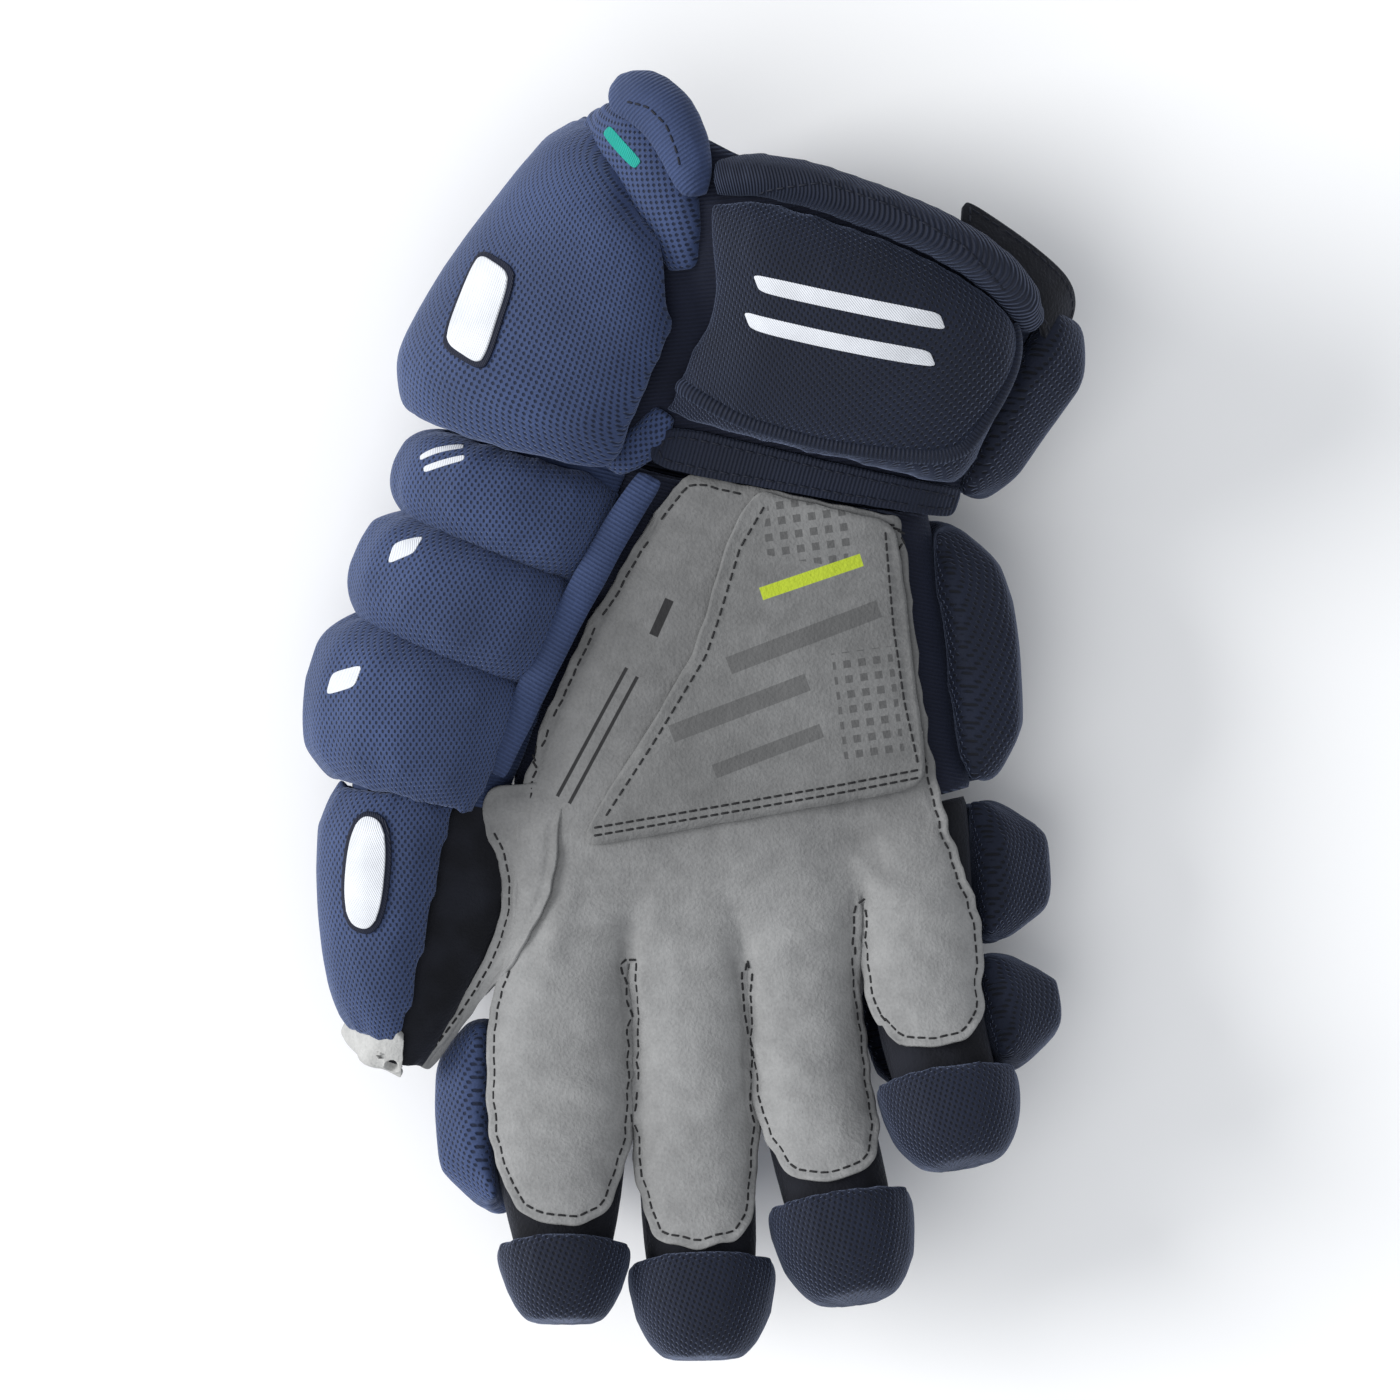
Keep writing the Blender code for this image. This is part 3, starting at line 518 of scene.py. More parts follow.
def bolster(name, rows, outward):
    """A bag along a line of places. Each row gives x, y, z and half the width and height, in millimetres."""
    rows = np.array(rows) / 1000.0
    steps = np.linspace(0, len(rows) - 1, BOLSTER_RINGS)
    rows = np.array([[np.interp(step, range(len(rows)), column) for column in rows.T] for step in steps])
    for _ in range(2):
        rows[1:-1] = (rows[:-2] + rows[1:-1] * 2 + rows[2:]) / 4
    rings = []
    for number, row in enumerate(rows):
        along = rows[min(number + 1, BOLSTER_RINGS - 1), :3] - rows[max(number - 1, 0), :3]
        along /= np.linalg.norm(along)
        up = np.array(outward) - along * (along @ np.array(outward))
        up /= np.linalg.norm(up)
        rings.append(ring_at(row[:3], np.cross(up, along), up, row[3], row[4], BOLSTER_SIDES))
    return ring_bag(name, rings)


def sew_pad(
    node, tube, look, reach=0.0022, cell=0.0032, depth=0.0013, wrap=1.0, stretch=1.0, shift=0.0,
    bowed=False, rows=None,
):
    """A padded piece over one packed pad, unrolled round the tube that carries it."""
    if rows is None:
        pad = cut_from_solid(node, f"{node}_cloth")
    else:
        pad = bolster(f"{node}_cloth", rows, ROLLS_OUTWARD)
    low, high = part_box(node)
    start, end = line_through(tube, low.y, high.y)
    if (wrap, stretch, shift) != (1.0, 1.0, 0.0):
        tuck_borders(pad, start, end, wrap, stretch, shift, bowed)
    fill_with_foam(pad, start, end, reach, cell)
    around, along, _ = unroll(pad, start, end)
    gather(pad, around, along, depth)
    keep_on_floor(pad)
    unroll(pad, start, end)
    dress(pad, look, "mesh_fabric", node)
    return pad


def keep_on_floor(piece):
    """Flattens what would swell through the surface that the glove rests on."""
    places = points_of(piece)
    places[:, 2] = np.maximum(places[:, 2], cad_box[0][2])
    move_points(piece, places)


# Two copies of one navy mesh: the first painted lighter with light, the second painted darker with shade for
# the parts that lie in shadow.
pad_mesh = knitted_mesh("pad_mesh", LIT_NAVY, 12.0)
shaded_mesh = knitted_mesh("shaded_mesh", SHADED_NAVY, 20.0)
for number in (1, 2, 3):
    sew_pad(f"back_roll_{number}", "hand_sleeve", pad_mesh)
for finger in ("index", "middle", "ring", "pinky"):
    for number in (1, 2):
        # The pinky's pads take the mesh with painted shade; the other fingers' pads take the one with painted
        # light.
        look = shaded_mesh if finger == "pinky" else pad_mesh
        sew_pad(f"{finger}_pad_{number}", f"{finger}_stall", look)
    # The tip caps take the mesh with painted shade.
    sew_pad(f"{finger}_tip_cap", f"{finger}_stall", shaded_mesh, reach=0.0010, cell=0.0020, depth=0.0004)
# The side pad takes the mesh with painted shade.
sew_pad("side_pad", "hand_sleeve", shaded_mesh)
thumb_rolls = []
for number in (1, 2, 3):
    node = f"thumb_roll_{number}"
    roll = sew_pad(node, "thumb_stall", pad_mesh, reach=0.0036, depth=0.0009, wrap=1.15, stretch=1.15)
    thumb_rolls.append(roll)
thumb_pad = sew_pad("thumb_back_pad", "thumb_stall", pad_mesh, reach=0.0026)
cuff_side = sew_pad(
    "cuff_side_pad", "cuff_shell", pad_mesh, cell=0.0036, reach=0.0028, depth=0.0008, shift=-0.0025
)
# The outer cuff pad takes the mesh with painted shade.
sew_pad("cuff_outer_pad", "cuff_shell", shaded_mesh)
sew_pad("cuff_back_pad", "cuff_shell", pad_mesh, cell=0.0036)
LOWER_ROLL = [
    # x, y, z, half the width, half the height, in millimetres
    (-29.5, 160.5, 60.0, 4.0, 4.0),
    (-26.5, 158.5, 64.0, 8.5, 5.5),
    (-22.5, 155.5, 70.0, 10.0, 6.5),
    (-17.7, 151.2, 76.5, 10.5, 6.5),
    (-12.3, 143.0, 80.5, 10.0, 6.0),
    (-8.7, 134.9, 82.0, 9.0, 5.5),
    (-6.0, 125.3, 81.0, 7.0, 4.5),
    (-4.3, 117.2, 80.0, 4.0, 3.5),
]
lower_roll = sew_pad("cuff_roll_lower", "cuff_shell", pad_mesh, cell=0.0022, rows=LOWER_ROLL)
# The wrist panel takes the mesh with painted shade.
wrist_panel = sew_pad("wrist_pad", "cuff_shell", shaded_mesh, reach=0.0014, depth=0.0007)

# The palm: grey suede cut as one sheet with a strip for each finger, slit between them. Its raw edges
# stand a little proud of the black thread that sews it down, and ripple where the thread draws them in.
SUEDE_LOOK = (0.240, 0.241, 0.240)
SUEDE_THICKNESS = 0.0012
THREAD_INSET = 0.0024
RIPPLE = 0.0008
RIPPLE_PITCH = 0.0065
ROUTE_STEP = 0.001
ABOVE_ALL = 0.3
DOWN = Vector((0.0, 0.0, -1.0))


def suede(name, look, print_on=None):
    """Brushed leather: soft mottling, short nap, paler where it is worn."""
    dye = Dye(name)
    place = dye.place()
    clouds = dye.speckle(place, 22.0, 4.0)
    mottle = dye.speckle(place, 160.0, 3.0)
    nap = dye.speckle(place, 1100.0, 3.0)
    shade = (clouds * 0.45 + mottle * 0.30 + nap * 0.25).step(0.25, 0.75)
    colour = dye.mix(shade, tuple(0.70 * c for c in look), tuple(1.22 * c for c in look))
    if print_on is not None:
        colour = print_on(dye, colour, dye.parts(place))
    height = nap * 0.6 + mottle * 0.8 + clouds
    return dye.finish(colour, 0.92, height, 0.0006, sheen=0.12, sheen_tint=(1.0, 1.0, 1.0))


def outer_side(node, name, rim):
    """The outer skin of a packed sheet, without its rim and its inner skin."""
    piece = cut_from_solid(node, name)
    skin = bmesh.new()
    skin.from_mesh(piece.data)
    thin = [face for face in skin.faces if min(edge.calc_length() for edge in face.edges) < rim]
    bmesh.ops.delete(skin, geom=thin, context="FACES")
    left = set(skin.faces)
    sides = []
    while left:
        side = [left.pop()]
        for face in side:
            for edge in face.edges:
                for other in edge.link_faces:
                    if other in left:
                        left.remove(other)
                        side.append(other)
        sides.append(side)
    sides.sort(key=lambda side: -sum(face.calc_area() for face in side))
    sides = sides[:2]
    keep = max(sides, key=lambda side: sum(face.normal.z * face.calc_area() for face in side))
    kept = set(keep)
    bmesh.ops.delete(skin, geom=[face for face in skin.faces if face not in kept], context="FACES")
    skin.to_mesh(piece.data)
    skin.free()
    return piece


def border_of(piece):
    """The longest border of an open sheet: its places in order, and the inward directions there."""
    skin = bmesh.new()
    skin.from_mesh(piece.data)
    skin.verts.ensure_lookup_table()
    edges = {edge for edge in skin.edges if len(edge.link_faces) == 1}
    loops = []
    while edges:
        edge = edges.pop()
        loop = [edge.verts[0], edge.verts[1]]
        while True:
            step = next((e for e in loop[-1].link_edges if e in edges), None)
            if step is None:
                break
            edges.remove(step)
            loop.append(step.other_vert(loop[-1]))
        loops.append(loop)
    loop = max(loops, key=len)
    places = np.array([tuple(corner.co) for corner in loop[:-1]])
    inward = []
    for before, corner, after in zip([loop[-2], *loop[:-2]], loop[:-1], [*loop[1:-1], loop[0]]):
        along = (after.co - before.co).normalized()
        across = corner.normal.cross(along).normalized()
        middle = sum((face.calc_center_median() for face in corner.link_faces), Vector())
        middle /= len(corner.link_faces)
        inward.append(tuple(across if across.dot(middle - corner.co) > 0 else -across))
    skin.free()
    return places, np.array(inward)


def ripple_edges(piece, strength=1.0):
    """Waves the raw edge of a sheet, and draws it down along its seam."""
    border, inward = border_of(piece)
    steps = np.linalg.norm(np.roll(border, -1, axis=0) - border, axis=1)
    travelled = np.concatenate([[0.0], np.cumsum(steps)[:-1]])
    finder = kdtree.KDTree(len(border))
    for number, place in enumerate(border):
        finder.insert(place, number)
    finder.balance()
    places = points_of(piece)
    normals = normals_of(piece)
    moved = places.copy()
    for number, place in enumerate(places):
        _, nearest, away = finder.find(place)
        if away > 0.012:
            continue
        run = travelled[nearest] / RIPPLE_PITCH
        side = noise.noise(Vector((run, 3.1, 0.0)))
        rise = noise.noise(Vector((run * 0.8, 11.7, 0.0)))
        fade = math.exp(-((away / 0.0034) ** 2))
        seam = math.exp(-(((away - THREAD_INSET) / 0.0011) ** 2))
        moved[number] += inward[nearest] * side * RIPPLE * 1.6 * fade * strength
        moved[number] += normals[number] * ((0.0004 + rise * RIPPLE * 1.3) * fade - 0.0005 * seam) * strength
    move_points(piece, moved)


def crease(piece, folds):
    """Presses soft folds into a sheet. Each fold runs between two places in plan."""
    places = points_of(piece)
    normals = normals_of(piece)
    lift = np.zeros(len(places))
    for x1, y1, x2, y2, width, rise in folds:
        start, end = np.array([x1, y1]) / 1000.0, np.array([x2, y2]) / 1000.0
        run = end - start
        share = np.clip(((places[:, :2] - start) @ run) / (run @ run), 0.0, 1.0)
        away = np.linalg.norm(places[:, :2] - start - share[:, None] * run, axis=1) / (width / 1000.0)
        taper = np.sin(np.pi * np.clip(share, 0.04, 0.96)) ** 0.5
        lift += rise / 1000.0 * taper * np.exp(-away * away) * (normals[:, 2] > 0.2)
    move_points(piece, places + normals * lift[:, None])


def crumple(piece, size, height):
    """Uneven swells all over a sheet."""
    places = points_of(piece)
    swell = np.array([noise.noise(Vector(place) / size) for place in places])
    move_points(piece, places + normals_of(piece) * (swell * height)[:, None])


def one_stitch(length, width):
    """One stitch of thread along X: its corners and faces."""
    bpy.ops.object.select_all(action="DESELECT")
    bpy.ops.mesh.primitive_cube_add(size=1.0)
    stitch = bpy.context.object
    stitch.scale = (length, width, width * 0.7)
    bpy.ops.object.transform_apply(location=False, rotation=False, scale=True)
    bpy.ops.object.mode_set(mode="EDIT")
    bpy.ops.mesh.select_all(action="SELECT")
    bpy.ops.mesh.bevel(offset=width * 0.3, segments=1, affect="EDGES")
    bpy.ops.object.mode_set(mode="OBJECT")
    corners = points_of(stitch)
    faces = [list(face.vertices) for face in stitch.data.polygons]
    bpy.data.objects.remove(stitch)
    return corners, faces


def thread_look(name, look):
    """Waxed thread with a fine twist."""
    dye = Dye(name)
    twist = dye.speckle(dye.place(), 2600.0)
    colour = dye.mix(twist, tuple(0.7 * c for c in look), tuple(1.6 * c for c in look))
    return dye.finish(colour, 0.6, twist, 0.0001)


def skin_of(piece):
    """A finder of places on the surface of a piece."""
    faces = [list(face.vertices) for face in piece.data.polygons]
    return BVHTree.FromPolygons([tuple(place) for place in points_of(piece)], faces)


def distances(route):
    """How far along a route each of its places is."""
    return np.concatenate([[0.0], np.cumsum(np.linalg.norm(np.diff(route, axis=0), axis=1))])


def sew(name, route, surface, look, slot, pitch=0.0032, length=0.0023, width=0.00062, closed=False):
    """A row of stitches on a surface, along the route in order."""
    skin = skin_of(surface)
    route = np.array(route)
    if closed:
        route = np.vstack([route, route[:1]])
    travelled = distances(route)
    shape, shape_faces = one_stitch(length, width)
    corners = []
    sides = []
    for number in range(int(travelled[-1] / pitch)):
        middle = (number + 0.5) * pitch
        ends = [Vector([np.interp(middle + shift, travelled, route[:, axis]) for axis in range(3)])
                for shift in (-length / 2, length / 2)]
        spot, normal, _, _ = skin.find_nearest((ends[0] + ends[1]) / 2)
        if (ends[1] - ends[0]).length < length * 0.5:
            continue
        along = (ends[1] - ends[0]).normalized()
        along = (along - normal * along.dot(normal)).normalized()
        across = normal.cross(along)
        turn = np.array([along, across, normal])
        base = len(corners) * len(shape)
        corners.append(shape @ turn + np.array(spot + normal * width * 0.12))
        sides += [[corner + base for corner in face] for face in shape_faces]
    mesh = bpy.data.meshes.new(name)
    mesh.from_pydata(np.vstack(corners).tolist(), [], sides)
    row = bpy.data.objects.new(name, mesh)
    bpy.context.collection.objects.link(row)
    dress(row, look, slot)


def drop_on(surface, spots):
    """A route over a surface, below a line of places in plan, in millimetres."""
    skin = skin_of(surface)
    spots = np.array(spots) / 1000.0
    travelled = distances(spots)
    route = []
    for run in np.arange(0.0, travelled[-1], ROUTE_STEP):
        x = np.interp(run, travelled, spots[:, 0])
        y = np.interp(run, travelled, spots[:, 1])
        spot = skin.ray_cast(Vector((x, y, ABOVE_ALL)), DOWN)[0]
        if spot is not None:
            route.append(tuple(spot))
    return route


black_thread = thread_look("black_thread", (0.012, 0.012, 0.013))
palm = outer_side("palm_leather", "palm_leather_suede", 0.0019)
work_in(palm, "SUBSURF", levels=3, render_levels=3)
PALM_FOLDS = [
    # x1, y1, x2, y2, width, rise, in millimetres
    (-46, -66, -14, -60, 4.5, 1.8),
    (-52, -82, -20, -88, 5.0, 1.4),
    (-10, -74, 10, -70, 4.0, 1.3),
    (14, -74, 34, -66, 4.0, 1.6),
    (50, -44, 72, -40, 4.5, 2.2),
    (46, -50, 70, -60, 4.0, 1.6),
    (-40, -108, -22, -112, 4.0, 1.3),
    (-6, -118, 10, -112, 4.0, 1.3),
    (16, -98, 34, -104, 4.0, 1.3),
    (-36, -50, -44, -78, 4.0, 1.4),
    (-16, -52, -22, -80, 3.5, -1.0),
]
crumple(palm, 0.024, 0.0010)
crease(palm, PALM_FOLDS)
ripple_edges(palm)
edge, inward = border_of(palm)
palm_seam = edge + inward * THREAD_INSET
work_in(palm, "SOLIDIFY", thickness=SUEDE_THICKNESS, offset=-1.0)
INK_AND_SHADE_BLACK = (0.010, 0.010, 0.011)


def stroke(place, x1, y1, x2, y2, width):
    """1 on a straight bar between two places in plan, in millimetres, and 0 off it."""
    x, y, _ = place
    run = math.hypot(x2 - x1, y2 - y1) / 1000.0
    c, s = (x2 - x1) / 1000.0 / run, (y2 - y1) / 1000.0 / run
    along = (x - x1 / 1000.0) * c + (y - y1 / 1000.0) * s
    across = (y - y1 / 1000.0) * c - (x - x1 / 1000.0) * s
    inside = (width / 2000.0 - across.size()).smaller(along).smaller(run - along)
    return inside.step(-0.0001, 0.0001)


def palm_print(dye, suede_colour, place):
    """Plain black lines beside the welt, on leather darkened towards the wrist by painted shade."""
    lines = [(-40.0, -27.0, -20.5, 9.0, 1.0), (-36.6, -29.0, -17.5, 6.5, 1.0), (-13.0, 18.0, -8.5, 28.0, 2.6)]
    ink = stroke(place, *lines[0])
    for line in lines[1:]:
        ink = ink.larger(stroke(place, *line))
    _, y, _ = place
    # Painted shade: the suede darkens towards the wrist, mixed towards the print's black.
    painted_wrist_shade = dye.mix(y.step(-0.075, 0.000) * 0.36, suede_colour, INK_AND_SHADE_BLACK)
    return dye.mix(ink * 0.9, painted_wrist_shade, INK_AND_SHADE_BLACK)


palm_suede = suede("palm_suede", SUEDE_LOOK, palm_print)
dress(palm, palm_suede, "grey_leather", "palm_leather")
sew("palm_edge_stitches", palm_seam, palm, black_thread, "gusset_fabric", closed=True)

# The raised centre of the palm: a second, darker suede, welted along its thumb edge, sewn with a
# double row over the knuckles and a single row on the outer side, and printed with a rubber grip.
OVERLAY_LOOK = (0.170, 0.171, 0.170)
RUBBER_GREY = (0.070, 0.070, 0.070)
PRINT_GREEN = (0.42, 0.52, 0.020)
SQUARE_PITCH = 0.0042


def grip_print(dye, suede_colour, place):
    """Rubber squares in two fields, three plain bands and a green bar."""
    x, y, _ = place
    turn = math.radians(8.0)
    first = x * math.cos(turn) + y * math.sin(turn)
    second = y * math.cos(turn) - x * math.sin(turn)
    columns = (first * (math.tau / SQUARE_PITCH)).cosine()
    squares = columns.smaller((second * (math.tau / SQUARE_PITCH)).cosine()).step(-0.10, 0.05)
    fields = stroke(place, 18.0, 49.0, 42.0, 45.0, 17.0).larger(stroke(place, 45.0, 14.0, 49.0, -17.0, 17.0))
    bands = stroke(place, 50.0, 25.5, 8.0, 9.5, 5.0).larger(stroke(place, 30.0, 5.0, -8.0, -9.5, 5.0))
    bands = bands.larger(stroke(place, 34.0, -8.5, 4.0, -20.0, 4.0))
    ink = (squares * fields * 0.75).larger(bands * 0.6)
    colour = dye.mix(ink, suede_colour, RUBBER_GREY)
    return dye.mix(stroke(place, 17.0, 29.5, 45.0, 39.0, 3.6) * 0.9, colour, PRINT_GREEN)


overlay = outer_side("palm_overlay", "palm_overlay_suede", 0.0015)
work_in(overlay, "SUBSURF", levels=3, render_levels=3)
crumple(overlay, 0.030, 0.0006)
ripple_edges(overlay, 0.35)
work_in(overlay, "SOLIDIFY", thickness=0.0010, offset=-1.0)
overlay_suede = suede("overlay_suede", OVERLAY_LOOK, grip_print)
dress(overlay, overlay_suede, "grey_leather", "palm_overlay")
KNUCKLE_SEAM = [(-30, -38.0), (0, -32.8), (40, -25.8), (62, -21.6)]
for number, shift in enumerate((0.0, 2.2)):
    line = drop_on(overlay, [(x, y + shift) for x, y in KNUCKLE_SEAM])
    sew(f"knuckle_stitches_{number + 1}", line, overlay, black_thread, "gusset_fabric", pitch=0.0030)
line = drop_on(overlay, [(51.5, 47), (54, 20), (57, 0), (61.5, -20)])
sew("outer_edge_stitches", line, overlay, black_thread, "gusset_fabric", pitch=0.0030)
line = drop_on(overlay, [(18, 54), (11, 42), (5, 22), (1.5, 12), (-13, -12), (-28, -35)])
sew("welt_stitches", line, overlay, black_thread, "gusset_fabric", pitch=0.0034)

# The thumb's leather: the palm's suede runs on down the inner side of the thumb as one curved strip,
# open over the black gusset, and folds over the thumb's tip, where its pale flesh side shows.
# The strip's two edges in plan and their heights, row by row from the crotch of the thumb, in millimetres.
THUMB_STRIP = [
    # outer x, y, z, inner x, y, z
    (-60.5, -24.0, 53.0, -36.5, -22.0, 50.0),
    (-62.0, -31.0, 52.0, -38.5, -30.0, 50.0),
    (-61.5, -38.0, 51.5, -39.5, -37.0, 50.0),
    (-58.0, -42.5, 51.0, -39.8, -43.0, 50.0),
    (-55.8, -48.5, 50.0, -40.2, -49.5, 50.0),
    (-55.4, -57.8, 49.0, -42.8, -57.8, 49.0),
    (-59.0, -68.8, 48.0, -49.3, -68.8, 48.0),
    (-63.0, -76.7, 47.0, -55.8, -77.6, 47.0),
    (-66.8, -84.0, 46.0, -61.5, -84.5, 44.5),
    (-71.1, -91.4, 45.0, -67.6, -92.8, 42.5),
    (-75.3, -97.9, 44.0, -72.2, -99.2, 41.0),
    (-80.7, -103.8, 43.0, -77.4, -105.4, 40.0),
]
SHEET_COLUMNS = 5
STRIP_LIFT = [-0.0008, 0.0019]
TIP_GAP = 0.0026
TIP_FOLD = [
    (-99.8, -88.6, 38.0, -103.6, -95.2, 33.0),
    (-97.8, -91.4, 45.0, -101.2, -98.4, 36.0),
    (-94.2, -93.6, 49.0, -97.4, -101.2, 40.0),
    (-90.2, -93.8, 51.0, -92.6, -103.6, 42.0),
    (-86.4, -92.2, 52.0, -88.2, -105.8, 43.0),
    (-82.6, -90.2, 51.0, -84.4, -108.4, 43.0),
]


def lofted_sheet(name, rows, bulge=0.0015):
    """An open sheet between two edges, bowed upward in the middle."""
    corners = []
    for x1, y1, z1, x2, y2, z2 in rows:
        for step in range(SHEET_COLUMNS + 1):
            share = step / SHEET_COLUMNS
            spot = np.array([x1, y1, z1]) * (1.0 - share) + np.array([x2, y2, z2]) * share
            corners.append(spot / 1000.0 + np.array([0.0, 0.0, bulge * math.sin(math.pi * share)]))
    faces = []
    for row in range(len(rows) - 1):
        for step in range(SHEET_COLUMNS):
            first = row * (SHEET_COLUMNS + 1) + step
            faces.append((first, first + SHEET_COLUMNS + 1, first + SHEET_COLUMNS + 2, first + 1))
    mesh = bpy.data.meshes.new(name)
    mesh.from_pydata([tuple(corner) for corner in corners], [], faces)
    piece = bpy.data.objects.new(name, mesh)
    bpy.context.collection.objects.link(piece)
    if sum(face.normal.z for face in mesh.polygons) < 0.0:
        mesh.flip_normals()
    return piece


thumb_strip = lofted_sheet("thumb_leather_suede", THUMB_STRIP)
palm_skin = skin_of(palm)
places = points_of(thumb_strip)
for number, (x, y, z) in enumerate(places):
    under = palm_skin.ray_cast(Vector((x, y, ABOVE_ALL)), DOWN)[0]
    if under is not None:
        rise = np.interp(number // (SHEET_COLUMNS + 1), [0, 4], STRIP_LIFT)
        places[number, 2] = max(z, under.z + rise)
move_points(thumb_strip, places)
work_in(thumb_strip, "SMOOTH", factor=0.5, iterations=1)
work_in(thumb_strip, "SUBSURF", levels=3, render_levels=3)
ripple_edges(thumb_strip, 0.7)
edge, inward = border_of(thumb_strip)
# The seam follows the outer edge alone: it keeps to the thumb's side of this line along the strip.
SEAM_ROWS = [-0.104, -0.084, -0.058, -0.0365, -0.036]
SEAM_SIDE = [-0.0790, -0.0642, -0.0490, -0.0500, -0.2]
strip_seam = edge + inward * THREAD_INSET
strip_seam = [place for place in strip_seam if place[0] < np.interp(place[1], SEAM_ROWS, SEAM_SIDE)]
work_in(thumb_strip, "SOLIDIFY", thickness=SUEDE_THICKNESS, offset=-1.0)
dress(thumb_strip, palm_suede, "grey_leather", "thumb_leather")
strip_seam.sort(key=lambda place: -place[1])
sew("thumb_strip_stitches", strip_seam, thumb_strip, black_thread, "gusset_fabric")

tip_fold = lofted_sheet("thumb_tip_fold_suede", TIP_FOLD, bulge=0.0030)
work_in(tip_fold, "SUBSURF", levels=3, render_levels=3)
tip_skin = skin_of(bpy.data.objects["thumb_stall_cloth"])
for rounds in (10, 5, 2):
    places = points_of(tip_fold)
    for number, place in enumerate(places):
        near, normal, _, _ = tip_skin.find_nearest(Vector(place))
        if (Vector(place) - near).dot(normal) < TIP_GAP:
            places[number] = near + normal * TIP_GAP
    move_points(tip_fold, places)
    work_in(tip_fold, "SMOOTH", factor=0.5, iterations=rounds)
crumple(tip_fold, 0.011, 0.0005)
work_in(tip_fold, "SOLIDIFY", thickness=SUEDE_THICKNESS, offset=-1.0)
dress(tip_fold, suede("flesh_side", (0.40, 0.40, 0.39)), "grey_leather", "thumb_tip_fold")

# The trim: a padded piping between the thumb's rolls and the palm, ribbed bindings round the cuff's
# mouth and its wrist panel, the band over the wrist, and the black hook-and-loop strap.
RIB_PITCH = 0.0012


def ribbed_binding(name, look):
    """Grosgrain tape: fine ribs across it, a little lighter on their crowns."""
    dye = Dye(name)
    place = dye.place()
    around, along, _ = dye.cloth_place()
    ribs = (around * (math.tau / RIB_PITCH)).cosine()
    patches = dye.speckle(place, 50.0)
    threads = dye.speckle(place, 1800.0)
    shade = (patches * 0.5 + ribs * 0.18 + threads * 0.3).step(0.0, 0.9)
    colour = dye.mix(shade, tuple(0.55 * c for c in look), tuple(1.5 * c for c in look))
    return dye.finish(colour, 0.75, ribs + threads * 0.4, 0.0003, sheen=0.3, sheen_tint=(0.45, 0.55, 0.85))


piping = cut_from_solid("thumb_piping", "thumb_piping_cloth")
work_in(piping, "SUBSURF", levels=3, render_levels=3)
low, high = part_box("thumb_piping")
PIPING_ENDS = ((low.x, low.y, low.z), (high.x, high.y, high.z))
crumple(piping, 0.010, 0.0004)
unroll(piping, *PIPING_ENDS, centre_side=(-0.7, 0.4, 1.0))
# The piping takes the navy painted lighter with light.
dress(piping, plain_weave("piping_cloth", LIT_NAVY, RIB_PITCH), "plain_fabric", "thumb_piping")

# The bindings take the navy painted darker with shade; the upper cuff roll's smooth cloth takes the navy
# painted lighter with light.
deep_binding = ribbed_binding("deep_binding", SHADED_NAVY)
pad_plain = plain_weave("smooth_cloth", LIT_NAVY)
dark_thread = thread_look("dark_thread", (0.006, 0.008, 0.016))
binding = sew_pad(
    "wrist_binding", "cuff_shell", deep_binding, reach=0.0012, cell=0.0022, depth=0.0004, stretch=0.70,
    shift=-0.0038, bowed=True,
)
UPPER_ROLL = [
    # x, y, z, half the width, half the height, in millimetres
    (-23.0, 164.5, 71.0, 3.0, 3.0),
    (-20.5, 166.0, 74.0, 6.5, 5.0),
    (-14.8, 164.6, 80.0, 7.5, 6.5),
    (-8.6, 158.4, 85.0, 7.5, 7.0),
    (-4.3, 150.0, 88.0, 6.8, 6.5),
    (-2.2, 141.7, 89.0, 5.5, 5.5),
    (-1.3, 136.3, 88.5, 3.0, 3.5),
]
upper_roll = sew_pad("cuff_roll_upper", "cuff_shell", pad_plain, cell=0.0022, depth=0.0006, rows=UPPER_ROLL)
ROLL_SEAM = [(-20.0, 162.5), (-14.0, 160.0), (-9.0, 154.5), (-6.3, 147.5), (-4.8, 141.0)]
line = drop_on(upper_roll, ROLL_SEAM)
sew("roll_stitches", line, upper_roll, dark_thread, "gusset_fabric")
BINDING_SEAM = [(5.0, 133.0), (18.0, 136.5), (32.9, 138.0), (52.0, 131.5), (70.7, 121.5), (84.0, 109.0)]
line = drop_on(binding, BINDING_SEAM)
sew("binding_stitches", line, binding, dark_thread, "gusset_fabric")

band = outer_side("wrist_band", "wrist_band_cloth", 0.0022)
work_in(band, "SUBSURF", levels=3, render_levels=3)
ripple_edges(band, 0.25)
edge, inward = border_of(band)
band_seam = edge + inward * 0.0022
work_in(band, "SOLIDIFY", thickness=0.0016, offset=-1.0)
low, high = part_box("wrist_band")
unroll(band, (low.x, high.y, 0.03), (high.x, low.y, 0.03), centre_side=(0.0, 0.0, 1.0))
# The band takes the navy painted darker with shade.
dress(band, plain_weave("band_cloth", SHADED_NAVY), "plain_fabric", "wrist_band")
sew("band_stitches", band_seam, band, dark_thread, "gusset_fabric", closed=True)

